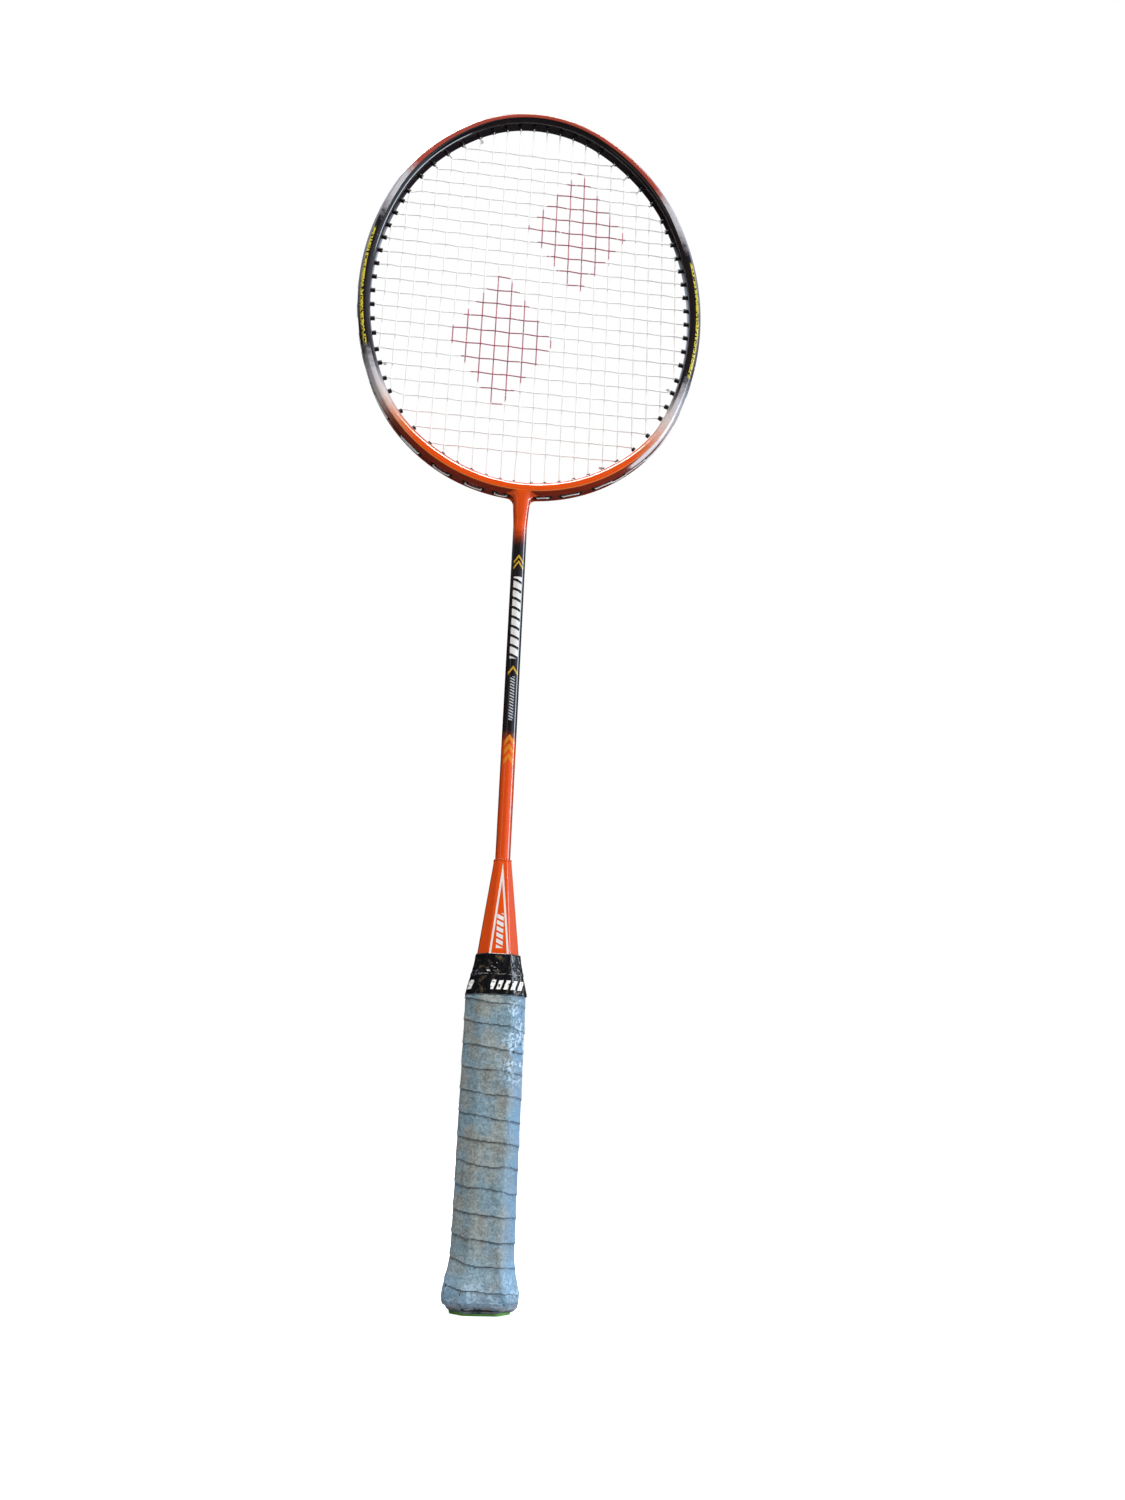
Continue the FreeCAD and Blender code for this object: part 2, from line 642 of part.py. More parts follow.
def upper_tape():
    """The tape that closes the step between the grip and the cone cap."""
    body = new_body("finishing_tape_upper")
    seam = "Sizes.tape_boundary"
    top = "Sizes.upper_tape_top"
    wide = "Sizes.base_grip_thickness + Sizes.overgrip_thickness + Sizes.tape_thickness"
    loft(
        body,
        "tape_outside",
        [
            wrapped_octagon(body, "tape_foot", seam, "0", wide),
            cone_octagon(body, "tape_head", top, "-Sizes.tape_thickness"),
        ],
    )
    hollow = [
        cone_octagon(body, "tape_mouth", seam, f"-{WRAP_GAP}"),
        cone_octagon(body, "tape_roof", top, f"-{WRAP_GAP}"),
    ]
    loft(body, "tape_inside", hollow, "SubtractiveLoft")
    return body


# ---------------------------------------------------------------- string holes


class StringEnd:
    """Where one string meets the rim: its family, index, side and turn."""

    def __init__(self, family, index, side, turn):
        self.family = family
        self.index = index
        self.side = side
        self.turn = turn


class Hole:
    """A hole through the rim with its grommet, and the string ends that use it."""

    def __init__(self, side, ends):
        self.side = side
        self.ends = ends
        self.turn = sum(end.turn for end in ends) / len(ends)
        self.outer_turn = self.turn

    def inner(self, across=0.0):
        return rim_point(self.turn, TIP, self.side, across)

    def outer(self, offset, across=0.0):
        """A point of the hole's axis, which may lean, at an offset from the outline."""
        root = rim_point(self.turn, TIP, self.side)
        mouth = rim_point(self.outer_turn, 0, self.side)
        point = mouth + (mouth - root) * (offset / -TIP)
        return Vector(point.x, across, point.z)

    def lane(self, family):
        """The side of the bed plane, +1 or -1, that a family of strings keeps to in this hole."""
        main_lane = self.side if self.turn < 90 else -self.side
        return main_lane if family == "main" else -main_lane


def turn_at(coordinate, target, low, high):
    """The turn between low and high at which a coordinate of the grommets' tips is the target."""
    rising = coordinate(rim_point(high, TIP)) > coordinate(rim_point(low, TIP))
    for _ in range(BISECTIONS):
        middle = (low + high) / 2
        if (coordinate(rim_point(middle, TIP)) < target) == rising:
            low = middle
        else:
            high = middle
    return (low + high) / 2


def main_x(index):
    return (index - (MAINS - 1) / 2) * size("main_pitch")


def cross_z(index):
    fall = size("cross_pitch") * index + size("cross_pitch_growth") * index**2
    return size("first_cross") - fall


def string_ends(side):
    """All string ends on one side of the head, from the crown to the throat."""
    ends = []
    for index in range(MAINS):
        reach = main_x(index) * side
        if reach < 0:
            continue
        throat_reach = reach
        if reach < size("main_pitch"):
            throat_reach = reach + size("throat_spread")
        ends.append(StringEnd("main", index, side, turn_at(lambda p: p.x, reach, 0, 90)))
        ends.append(StringEnd("main", index, side, turn_at(lambda p: p.x, throat_reach, 90, 180)))
    for index in range(CROSSES):
        turn = turn_at(lambda p: p.z, cross_z(index), 0, 180)
        ends.append(StringEnd("cross", index, side, turn))
    return sorted(ends, key=lambda end: end.turn)


def holes_on(side):
    """The holes on one side; a main and a cross that end close together share one."""
    ends = string_ends(side)
    holes = []
    while ends:
        first = ends.pop(0)
        group = [first]
        if ends and ends[0].family != first.family:
            gap = rim_point(first.turn, 0).distanceToPoint(rim_point(ends[0].turn, 0))
            if gap < size("shared_hole_reach"):
                group.append(ends.pop(0))
        holes.append(Hole(side, group))
    holes[-1].outer_turn -= size("neck_lean")
    holes[-2].outer_turn -= size("next_lean")
    return holes


def rod(start, end, radius):
    return Part.makeCylinder(radius, start.distanceToPoint(end), start, end - start)


def drill(hole):
    """The material that one grommet hole removes from the rim."""
    inner = hole.inner()
    outer = hole.outer(0)
    radius = size("barrel_radius") + size("drill_gap")
    return rod(inner, outer + (outer - inner) * OVERSHOOT, radius)


def grommet(hole):
    """A flanged tube: its flange lies in the groove and its tip stands out inside the head."""
    floor = -size("groove_depth")
    thickness = size("flange_thickness")
    seat = hole.outer(floor)
    inner = hole.inner()
    barrel = rod(inner, hole.outer(floor + thickness / 2), size("barrel_radius"))
    flange = rod(seat, seat + rim_normal(hole.outer_turn, hole.side) * thickness, size("flange_radius"))
    reach = (seat - inner) * OVERSHOOT
    bore = rod(inner - reach, seat + reach, size("barrel_bore"))
    return barrel.fuse(flange).cut(bore)


def grommet_zone(hole):
    """The group that a hole's grommet belongs to."""
    if len(hole.ends) > 1:
        return "grommets_shared"
    if hole.ends[0].family == "cross":
        return "grommets_right" if hole.side > 0 else "grommets_left"
    return "grommets_crown" if hole.turn < 90 else "grommets_throat"


def grommet_groups():
    """Compounds of the identical grommets, zone by zone."""
    zones = {}
    for hole in HOLES:
        zones.setdefault(grommet_zone(hole), []).append(grommet(hole))
    return [shape_object(zone, Part.makeCompound(tubes)) for zone, tubes in zones.items()]


# ---------------------------------------------------------------- strings


def hole_of(family, index, side, upper=None):
    """The hole that a string ends in; a main ends twice on its side, above and below."""
    for hole in HOLES:
        if hole.side != side or (upper is not None and (hole.turn < 90) != upper):
            continue
        if any(end.family == family and end.index == index for end in hole.ends):
            return hole
    raise ValueError(f"no hole for {family} {index}")


def meets(main, cross):
    """Whether a main and a cross string cross inside the head."""
    nominal_turn = turn_at(lambda p: p.z, cross_z(cross), 0, 180)
    return abs(main_x(main)) < rim_point(nominal_turn, TIP).x


def weave_side(main, cross):
    """+1 where the main passes behind the cross, -1 where it passes in front."""
    return 1 if (main + cross) % 2 == 0 else -1


def main_bed(main):
    """Bed points of one main string, from the top down."""
    crosses = [cross for cross in range(CROSSES) if meets(main, cross)]
    swing = size("weave")
    return [Vector(main_x(main), swing * weave_side(main, c), cross_z(c)) for c in crosses]


def cross_bed(cross):
    """Bed points of one cross string, from left to right."""
    mains = [main for main in range(MAINS) if meets(main, cross)]
    swing = size("weave")
    return [Vector(main_x(m), -swing * weave_side(m, cross), cross_z(cross)) for m in mains]


def run_height():
    """Offset from the outline of the centre line of the runs in the groove."""
    above_floor = size("flange_thickness") + size("string_diameter") / 2 + RUN_CLEARANCE
    return above_floor - size("groove_depth")


def through(hole, family):
    """Path points from inside the head out to the groove."""
    across = size("weave") * hole.lane(family)
    return [hole.inner(across), hole.outer(run_height(), across)]


def outside_run(start, end, family):
    """Path points along the groove between two holes, both left out."""
    height = run_height()
    lane = size("outside_lane")
    first = start.side * start.outer_turn
    last = end.side * end.outer_turn
    length = start.outer(height).distanceToPoint(end.outer(height))
    count = max(3, round(length / RUN_STEP))
    points = []
    for index in range(1, count):
        share = index / count
        turn = first + (last - first) * share
        start_lane = start.lane(family) * (1 - share)
        across = lane * (start_lane + end.lane(family) * share)
        points.append(rim_point(abs(turn), height, 1 if turn > 0 else -1, across))
    return points


def neighbour(hole, step):
    """The hole next to this one on its side, towards the throat (+1) or the crown (-1)."""
    side_holes = [other for other in HOLES if other.side == hole.side]
    return side_holes[side_holes.index(hole) + step]


def tail(hole, family, step):
    """From a string's last hole along the groove, back in through the next hole, to its knot."""
    tie_off = neighbour(hole, step)
    inwards = -rim_normal(tie_off.turn, tie_off.side)
    lane = tie_off.lane(family)
    knot = tie_off.inner(KNOT_SHIFT * lane) + inwards * KNOT_REACH
    run = outside_run(hole, tie_off, family)
    return run + list(reversed(through(tie_off, family))) + [knot]


def serpentine(family, count, bed, hole_at_start, hole_at_end, tail_steps):
    """Path of a whole string that goes back and forth, from its first knot to its last."""
    points = []
    previous = None
    for index in range(count):
        first = hole_at_start(index)
        last = hole_at_end(index)
        if index == 0:
            points += list(reversed(tail(first, family, tail_steps[0])))
        else:
            points += outside_run(previous, first, family)
        points += list(reversed(through(first, family))) + bed(index) + through(last, family)
        previous = last
    return points + tail(previous, family, tail_steps[1])


def main_path():
    """Left to right; even mains run upwards, so that the centre pair turns at the crown."""

    def starts_low(index):
        return index % 2 == 0

    def hole_at(index, upper):
        return hole_of("main", index, 1 if main_x(index) > 0 else -1, upper)

    def bed(index):
        down = main_bed(index)
        return list(reversed(down)) if starts_low(index) else down

    def start(index):
        return hole_at(index, not starts_low(index))

    def end(index):
        return hole_at(index, starts_low(index))

    return serpentine("main", MAINS, bed, start, end, (1, 1))


def cross_path():
    """Top to bottom; even crosses run from left to right."""

    def bed(index):
        right = cross_bed(index)
        return right if index % 2 == 0 else list(reversed(right))

    def start(index):
        return hole_of("cross", index, -1 if index % 2 == 0 else 1)

    def end(index):
        return hole_of("cross", index, 1 if index % 2 == 0 else -1)

    return serpentine("cross", CROSSES, bed, start, end, (-1, 1))


def rounded_wire(points, radius):
    """A wire through the points with its corners rounded to this radius."""
    edges = []
    last = points[0]
    for before, corner, after in zip(points, points[1:], points[2:]):
        back = (before - corner).normalize()
        ahead = (after - corner).normalize()
        bend = math.pi - back.getAngle(ahead)
        nearest = min((before - corner).Length, (after - corner).Length)
        tangent = min(radius * math.tan(bend / 2), LONGEST_TANGENT * nearest)
        fitted = tangent / math.tan(bend / 2)
        middle = corner + (back + ahead).normalize() * (fitted / math.cos(bend / 2) - fitted)
        edges.append(Part.LineSegment(last, corner + back * tangent).toShape())
        last = corner + ahead * tangent
        edges.append(Part.Arc(edges[-1].Vertexes[-1].Point, middle, last).toShape())
    edges.append(Part.LineSegment(last, points[-1]).toShape())
    return Part.Wire(edges)


def string(label, points):
    """One length of string swept along its path, with a knot at each end."""
    path = shape_object(f"{label}_path", rounded_wire(points, size("string_bend")))
    profile = doc.addObject("Part::Circle", f"{label}_section")
    profile.setExpression("Radius", "Sizes.string_diameter / 2")
    profile.Placement = Placement(points[0], Rotation(Vector(0, 0, 1), points[1] - points[0]))
    sweep = doc.addObject("Part::Sweep", f"{label}_sweep")
    sweep.Sections = [profile]
    sweep.Spine = (path, [])
    sweep.Solid = True
    knots = []
    for name, point in (("first", points[0]), ("last", points[-1])):
        knot = doc.addObject("Part::Sphere", f"{label}_{name}_knot")
        knot.setExpression("Radius", "Sizes.knot_radius")
        knot.Placement = Placement(point, Rotation())
        knots.append(knot)
    whole = doc.addObject("Part::MultiFuse", label)
    whole.Label = label
    whole.Shapes = [sweep] + knots
    return whole


# ---------------------------------------------------------------- whole racket


def check(objects):
    """Stop if any object of the document failed, or a sub-part is empty or broken."""
    doc.recompute()
    for made in doc.Objects:
        if {"Invalid", "Error"} & set(made.State):
            raise RuntimeError(f"{made.Name} is {made.State}")
    for made in objects:
        if made.Shape.isNull() or not made.Shape.isValid():
            raise RuntimeError(f"{made.Label} has no valid shape")


def export(objects):
    os.makedirs("parts", exist_ok=True)
    for made in objects:
        made.Shape.exportStep(f"parts/{made.Label}.step")
        solids = made.Shape.Solids
        print(f"{made.Label}: {len(solids)} solid(s), {made.Shape.Volume:.0f} mm3")


write_sizes(DRIVING_SIZES, 1)
ARCS = outline_arcs()
DERIVED_SIZES = (
    ("throat_radius", ARCS[-1].radius, "outer radius at the throat, which closes the outline"),
    ("throat_centre", ARCS[-1].centre_z, "height of the throat arc's centre"),
    ("throat_outside", ARCS[-1].centre_z - ARCS[-1].radius, "height of the throat's outer edge"),
)
write_sizes(DERIVED_SIZES, len(DRIVING_SIZES) + 1)

TIP = -size("rim_width") - size("barrel_tip")
HOLES = holes_on(1) + holes_on(-1)

drills = shape_object("grommet_drills", Part.makeCompound([drill(hole) for hole in HOLES]))
insert = t_joint_blank()
core = handle_core()

sub_parts = [
    cut("head_frame", hoop_tube(), drills),
    cut("t_joint", insert, drills),
    cut("throat_fairing", throat_moulding(insert), drills),
    shaft(),
    cone_cap(),
    core_half("handle_core_front", core, True),
    core_half("handle_core_back", core, False),
    butt_cap(),
    butt_cap_disc(),
    *wraps(),
    upper_tape(),
    *grommet_groups(),
    string("main_string", main_path()),
    string("cross_string", cross_path()),
]
check(sub_parts)
export(sub_parts)
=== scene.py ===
import math

import bpy
import numpy as np
from mathutils import Matrix, Vector, noise

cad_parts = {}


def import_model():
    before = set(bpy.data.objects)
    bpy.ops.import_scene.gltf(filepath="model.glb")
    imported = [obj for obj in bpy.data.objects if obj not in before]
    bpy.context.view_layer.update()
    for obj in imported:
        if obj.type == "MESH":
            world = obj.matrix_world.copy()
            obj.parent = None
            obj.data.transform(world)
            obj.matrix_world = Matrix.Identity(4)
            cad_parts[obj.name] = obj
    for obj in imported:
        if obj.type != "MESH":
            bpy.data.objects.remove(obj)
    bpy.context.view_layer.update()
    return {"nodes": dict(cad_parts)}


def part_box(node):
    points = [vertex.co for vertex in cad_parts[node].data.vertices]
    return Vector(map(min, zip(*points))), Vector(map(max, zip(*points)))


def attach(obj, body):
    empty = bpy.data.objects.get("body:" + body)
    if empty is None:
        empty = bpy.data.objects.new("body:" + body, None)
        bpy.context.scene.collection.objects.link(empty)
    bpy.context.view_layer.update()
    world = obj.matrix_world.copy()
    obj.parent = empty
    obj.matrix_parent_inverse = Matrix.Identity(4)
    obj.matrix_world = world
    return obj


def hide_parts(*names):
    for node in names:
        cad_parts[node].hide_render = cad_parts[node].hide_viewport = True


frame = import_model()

# Looks of a badminton racket that stands on its butt. Shapes are worked out in millimetres and
# written to the meshes in metres. X is across the head, Z is along the shaft, Y = 0 is the plane
# of the strings and the front faces -Y.

MM = 0.001


def box_mm(node):
    """Lowest and highest corner of a CAD node."""
    low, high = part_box(node)
    return low / MM, high / MM


HEAD_LOW, HEAD_HIGH = box_mm("head_frame")
SHAFT_LOW, SHAFT_HIGH = box_mm("shaft")
CONE_LOW, CONE_HIGH = box_mm("cone_cap")
GRIP_LOW, GRIP_HIGH = box_mm("overgrip")
DISC_LOW, DISC_HIGH = box_mm("butt_cap_disc")
LOWER_TAPE_LOW, LOWER_TAPE_HIGH = box_mm("finishing_tape_lower")
UPPER_TAPE_LOW, UPPER_TAPE_HIGH = box_mm("finishing_tape_upper")

# ---------------------------------------------------------------- head outline

# A turn is a place on the outline: 0 degrees at the crown, 180 at the throat, negative on the
# left. Each half is five arcs that end at these turns; the last radius follows from the others.
CROWN = round(HEAD_HIGH.z, 1)
OUTER_RADII = (73.5, 119.0, 178.5, 100.0)
ARC_ENDS = (32.0, 66.0, 112.0, 146.0, 180.0)


def outline_arcs():
    """(end turn, centre x, centre z, radius) of the five arcs of the right half, from the crown."""
    arcs = [(ARC_ENDS[0], 0.0, CROWN - OUTER_RADII[0], OUTER_RADII[0])]
    for index in range(1, len(ARC_ENDS)):
        start, x, z, radius = arcs[-1]
        turn = math.radians(start)
        if index < len(OUTER_RADII):
            new_radius = OUTER_RADII[index]
        else:
            new_radius = radius + x / math.sin(turn)  # centred on the axis
        new_x = x + (radius - new_radius) * math.sin(turn)
        new_z = z + (radius - new_radius) * math.cos(turn)
        arcs.append((ARC_ENDS[index], new_x, new_z, new_radius))
    return arcs


ARCS = outline_arcs()
THROAT_Z = ARCS[-1][2] - ARCS[-1][3]


def rim_point(turn, offset, across):
    """The point at a turn, offset outwards from the outline and across the plane of the head."""
    _, centre_x, centre_z, radius = next(arc for arc in ARCS if abs(turn) <= arc[0])
    angle = math.radians(abs(turn))
    x = centre_x + (radius + offset) * math.sin(angle)
    z = centre_z + (radius + offset) * math.cos(angle)
    return math.copysign(x, turn), across, z


# ---------------------------------------------------------------- mesh helpers


def smooth_step(value, low, high):
    """0 below low, 1 above high, smooth between; a low above high gives a fall."""
    share = np.clip((value - low) / (high - low), 0, 1)
    return share * share * (3 - 2 * share)


def blend(first, second, share):
    """From first at a share of 0 to second at a share of 1."""
    return first + (second - first) * share


def round_corners(corners, radii, steps=6):
    """An open outline with every corner between its ends replaced by an arc of its radius."""
    points = [np.array(corners[0], float)]
    for index in range(1, len(corners) - 1):
        before, corner, after = (np.array(corners[index + k], float) for k in (-1, 0, 1))
        back = (before - corner) / np.linalg.norm(before - corner)
        ahead = (after - corner) / np.linalg.norm(after - corner)
        half = math.acos(np.clip(back @ ahead, -1, 1)) / 2
        middle = (back + ahead) / np.linalg.norm(back + ahead)
        radius = radii[index - 1]
        centre = corner + middle * radius / math.sin(half)
        sweep = math.pi / 2 - half
        side = (ahead - back) / np.linalg.norm(ahead - back)
        for step in range(steps + 1):
            angle = sweep * (2 * step / steps - 1)
            points.append(centre + radius * (side * math.sin(angle) - middle * math.cos(angle)))
    points.append(np.array(corners[-1], float))
    return np.array(points)


# Edges between faces that meet at more than this angle are shaded sharp.
SHARP_ANGLE = 50.0


def grid_piece(name, points, closed_rows, values=None):
    """A mesh over a grid of points (rows, columns, 3) in millimetres, with named point values.

    The last column always joins the first; the last row joins the first if closed_rows is true.
    """
    rows, columns = points.shape[:2]
    faces = []
    for row in range(rows if closed_rows else rows - 1):
        following = (row + 1) % rows
        for column in range(columns):
            beside = (column + 1) % columns
            corners = ((row, column), (row, beside), (following, beside), (following, column))
            faces.append([r * columns + c for r, c in corners])
    mesh = bpy.data.meshes.new(name)
    mesh.from_pydata((points.reshape(-1, 3) * MM).tolist(), [], faces)
    for value_name, numbers in (values or {}).items():
        layer = mesh.attributes.new(value_name, "FLOAT", "POINT")
        layer.data.foreach_set("value", np.asarray(numbers, np.float32).ravel())
    mesh.polygons.foreach_set("use_smooth", [True] * len(faces))
    mesh.set_sharp_from_angle(angle=math.radians(SHARP_ANGLE))
    mesh.validate()
    piece = bpy.data.objects.new(name, mesh)
    bpy.context.scene.collection.objects.link(piece)
    return piece


def face_outwards(piece):
    """Turn the faces so that the closed mesh has a positive volume."""
    mesh = piece.data
    volume = 0.0
    for face in mesh.polygons:
        first, *others = (mesh.vertices[v].co for v in face.vertices)
        for second, third in zip(others, others[1:]):
            volume += first.dot(second.cross(third))
    if volume < 0:
        mesh.flip_normals()
    return piece


# ---------------------------------------------------------------- rim and throat

# The rim's section is measured inwards from the outline and across the plane of the head. It has
# a string groove outside, a lip, a slanted flank, a ridge at its full depth and a rounded inside.
RIM_DEPTH = HEAD_HIGH.y - HEAD_LOW.y
RIM_WIDTHS = (7.5, 8.6)
RIM_WIDENING = (120, 150)
RIDGE_INSET = 2.4
GROOVE_DEPTH = 1.0
FILLED_GROOVE_DEPTH = 0.1
GROOVE_FADE = (5.0, 6.6)
GROOVE_HALF_WIDTH = 2.3
LIP_INSET = 0.08
LIP_ACROSS = 2.65
SECTION_RADII = {"groove": 0.1, "lip": 0.3, "ridge": 1.0, "inner": 3.5}


def rim_section(groove, width):
    """Closed outline of the rim as (offset, across), from the groove over the front and back."""
    half_depth = RIM_DEPTH / 2
    corners = [
        (-groove, 0),
        (-groove, GROOVE_HALF_WIDTH),
        (-LIP_INSET, LIP_ACROSS),
        (-RIDGE_INSET, half_depth),
        (-width, half_depth),
        (-width, 0),
    ]
    first_half = round_corners(corners, tuple(SECTION_RADII.values()))
    second_half = first_half[-2:0:-1] * (1, -1)
    return np.concatenate([first_half, second_half])


def rim():
    """The hoop, swept round the outline, broader at the throat; the groove ends at the neck."""
    turns = np.linspace(-180, 180, 721)[:-1]
    points = []
    offsets = []
    for turn in turns:
        reach = abs(rim_point(turn, 0, 0)[0])
        open_share = 1.0 if abs(turn) < 90 else float(smooth_step(reach, *GROOVE_FADE))
        groove = blend(FILLED_GROOVE_DEPTH, GROOVE_DEPTH, open_share)
        width = float(blend(*RIM_WIDTHS, smooth_step(abs(turn), *RIM_WIDENING)))
        section = rim_section(groove, width)
        points.append([rim_point(turn, offset, across) for offset, across in section])
        offsets.append(section[:, 0])
    turn_values = np.repeat(np.abs(turns)[:, None], len(offsets[0]), axis=1)
    values = {"turn": turn_values, "offset": offsets}
    return face_outwards(grid_piece("rim", np.array(points), True, values=values))


SHAFT_RADIUS = (SHAFT_HIGH.x - SHAFT_LOW.x) / 2
NECK_TOP_WIDTH = 2 * SHAFT_RADIUS + 1.7
NECK_TOP_DEPTH = RIM_DEPTH - 0.1
NECK_TOP_SQUARENESS = 3.2
NECK_INTO_RIM = 1.6
FILLET_RADIUS = 5.0
FILLET_INTO_RIM = 0.3
FILLET_BAND = (1.4, 3.4)
FLANK_RISE = 2.1
FLANK_BAND = (2.2, 4.8)
FLANK_RUN = 6.0


def squared(wave, power):
    """A sine or cosine bent towards a squarer outline."""
    return np.sign(wave) * np.abs(wave) ** power


def throat():
    """The neck: round at the shaft, squarer towards the hoop, with a fillet beside the groove."""
    bend = THROAT_Z - FILLET_RADIUS + FILLET_INTO_RIM
    straight = np.linspace(SHAFT_HIGH.z, bend, 40)
    rounded = bend + FILLET_RADIUS * np.sin(np.linspace(0, math.pi / 2, 24))[1:]
    heights = np.concatenate([straight, rounded, [THROAT_Z + NECK_INTO_RIM]])
    z, angle = np.meshgrid(heights, np.linspace(0, 2 * math.pi, 144, endpoint=False), indexing="ij")
    swell = smooth_step(z, SHAFT_HIGH.z, THROAT_Z)
    half_width = blend(SHAFT_RADIUS, NECK_TOP_WIDTH / 2, swell)
    half_depth = blend(SHAFT_RADIUS, NECK_TOP_DEPTH / 2, swell)
    power = 2 / blend(2, NECK_TOP_SQUARENESS, swell)
    y = squared(np.sin(angle), power) * half_depth
    climb = np.clip(z - bend, 0, FILLET_RADIUS)
    flare = FILLET_RADIUS - np.sqrt(FILLET_RADIUS**2 - climb**2)
    x = squared(np.cos(angle), power) * (half_width + flare * smooth_step(np.abs(y), *FILLET_BAND))
    near_bend = smooth_step(z, bend - FLANK_RUN, bend)
    lift = FLANK_RISE * smooth_step(np.abs(y), *FLANK_BAND) * near_bend
    return face_outwards(grid_piece("throat", np.stack([x, y, z + lift], axis=-1), False))


# ---------------------------------------------------------------- shaft and handle


def octagon_radius(angle, width, depth, bevel, sharpness):
    """Distance from the axis to the side of an octagon with softened edges."""
    diagonal = (width / 2 + depth / 2 - bevel) / math.sqrt(2)
    total = 0
    for index, distance in enumerate((width / 2, diagonal, depth / 2, diagonal) * 2):
        facing = np.maximum(np.cos(angle - index * math.pi / 4), 0)
        total = total + (facing / distance) ** sharpness
    return total ** (-1 / sharpness)


def crumple(angle, radius, height, size, seed, octaves=4):
    """Smooth random field of about -1..1 over a surface round the axis; size in millimetres."""
    x = np.cos(angle) * radius
    y = np.sin(angle) * radius
    spots = np.stack(np.broadcast_arrays(x, y, height), axis=-1).reshape(-1, 3) / size
    found = [noise.fractal(Vector(spot) + Vector((seed, 0, 0)), 1.0, 2.0, octaves) for spot in spots]
    return np.array(found).reshape(np.shape(height))


def sleeve(name, heights, outside, inside, columns=256, **fields):
    """A closed sleeve round the axis; outside and inside give a radius at (angle, height).

    Each of the fields is a function of (angle, height) kept as a value on the points.
    """
    angles = np.linspace(-math.pi, math.pi, columns, endpoint=False)
    angle, height = np.meshgrid(angles, heights)
    shell = outside(angle, height)
    core = inside(angle, height[::-1])
    radius = np.concatenate([shell, core])
    all_angles = np.concatenate([angle, angle])
    all_heights = np.concatenate([height, height[::-1]])
    points = np.stack([radius * np.cos(all_angles), radius * np.sin(all_angles), all_heights], axis=-1)
    values = {field: np.tile(work_out(angle, height), (2, 1)) for field, work_out in fields.items()}
    return face_outwards(grid_piece(name, points, True, values=values))


SHAFT_BORE_SHARE = 0.7
SHAFT_OVERLAP = 0.02


def shaft():
    """The round shaft, from inside the cone to the foot of the neck."""
    heights = np.linspace(SHAFT_LOW.z, SHAFT_HIGH.z + SHAFT_OVERLAP, 60)

    def outside(angle, height):
        return SHAFT_RADIUS + 0 * angle

    def inside(angle, height):
        return SHAFT_BORE_SHARE * SHAFT_RADIUS + 0 * angle

    return sleeve("shaft_tube", heights, outside, inside, 96)


# Sections of the cone as (width, depth, bevel).
CONE_BASE = (CONE_HIGH.x - CONE_LOW.x, CONE_HIGH.y - CONE_LOW.y, 5.2)
CONE_TOP = (8.4, 8.4, 2.4)
# A higher sharpness gives an octagon crisper edges.
CONE_SHARPNESS = 70
LIP_HEIGHT = 1.0
LIP_SWELL = 0.22
LIP_CLOSING = 0.45
MOUTH_GAP = 0.03


def cone_radius(angle, height, growth=0.0):
    """Side of the cone cap at a height."""
    share = (height - CONE_LOW.z) / (CONE_HIGH.z - CONE_LOW.z)
    width, depth, bevel = (blend(low, high, share) for low, high in zip(CONE_BASE, CONE_TOP))
    return octagon_radius(angle, width, depth, bevel, CONE_SHARPNESS) + growth


def cone():
    """The faceted cap with a small bead round its mouth."""
    top = CONE_HIGH.z
    plain = np.linspace(CONE_LOW.z, top - LIP_HEIGHT - 0.1, 60)
    heights = np.concatenate([plain, np.linspace(top - LIP_HEIGHT, top, 14)])

    def outside(angle, height):
        along = np.clip((height - top + LIP_HEIGHT) / LIP_HEIGHT, 0, 1)
        bead = LIP_SWELL * np.sin(math.pi * along)
        closing = LIP_CLOSING * smooth_step(along, 0.7, 1.0)
        return cone_radius(angle, height) + bead - closing

    def inside(angle, height):
        return SHAFT_RADIUS + MOUTH_GAP + 0 * angle

    return sleeve("cone_shell", heights, outside, inside)


# Wrapped handle: its width above the flare, and (height, share of the full flare) stations.
GRIP_WIDTH = 29.3
GRIP_DEPTH = GRIP_WIDTH - (GRIP_HIGH.x - GRIP_LOW.x) + (GRIP_HIGH.y - GRIP_LOW.y)
GRIP_BEVEL = 7.3
GRIP_SHARPNESS = 30
FLARE = GRIP_HIGH.x - GRIP_LOW.x - GRIP_WIDTH
FLARE_SHARES = (
    (0, -0.25),
    (1.2, 0.25),
    (3, 0.8),
    (5.5, 1),
    (8.5, 0.97),
    (13, 0.66),
    (17, 0.33),
    (22, 0.08),
    (27, 0),
)
TAPER_START = CONE_LOW.z - 13.0
WRAP_OVER_CONE = 1.2
SEAM_PITCH = 10.35
SEAM_AT_FRONT = 113.5
SEAM_STEP = 0.42
SEAM_WANDER = 0.08
CREVICE_DEPTH = 0.16
SLACK = 0.16
CREASE_DEPTH = 0.12
FRAY = 0.35
TORN_HEIGHT = 2.4
RAGGED_HEIGHT = 0.5
TORN_ANGLE = -2.2
WRAP_GROWTH = -0.4
WRAP_THICKNESS = 1.2


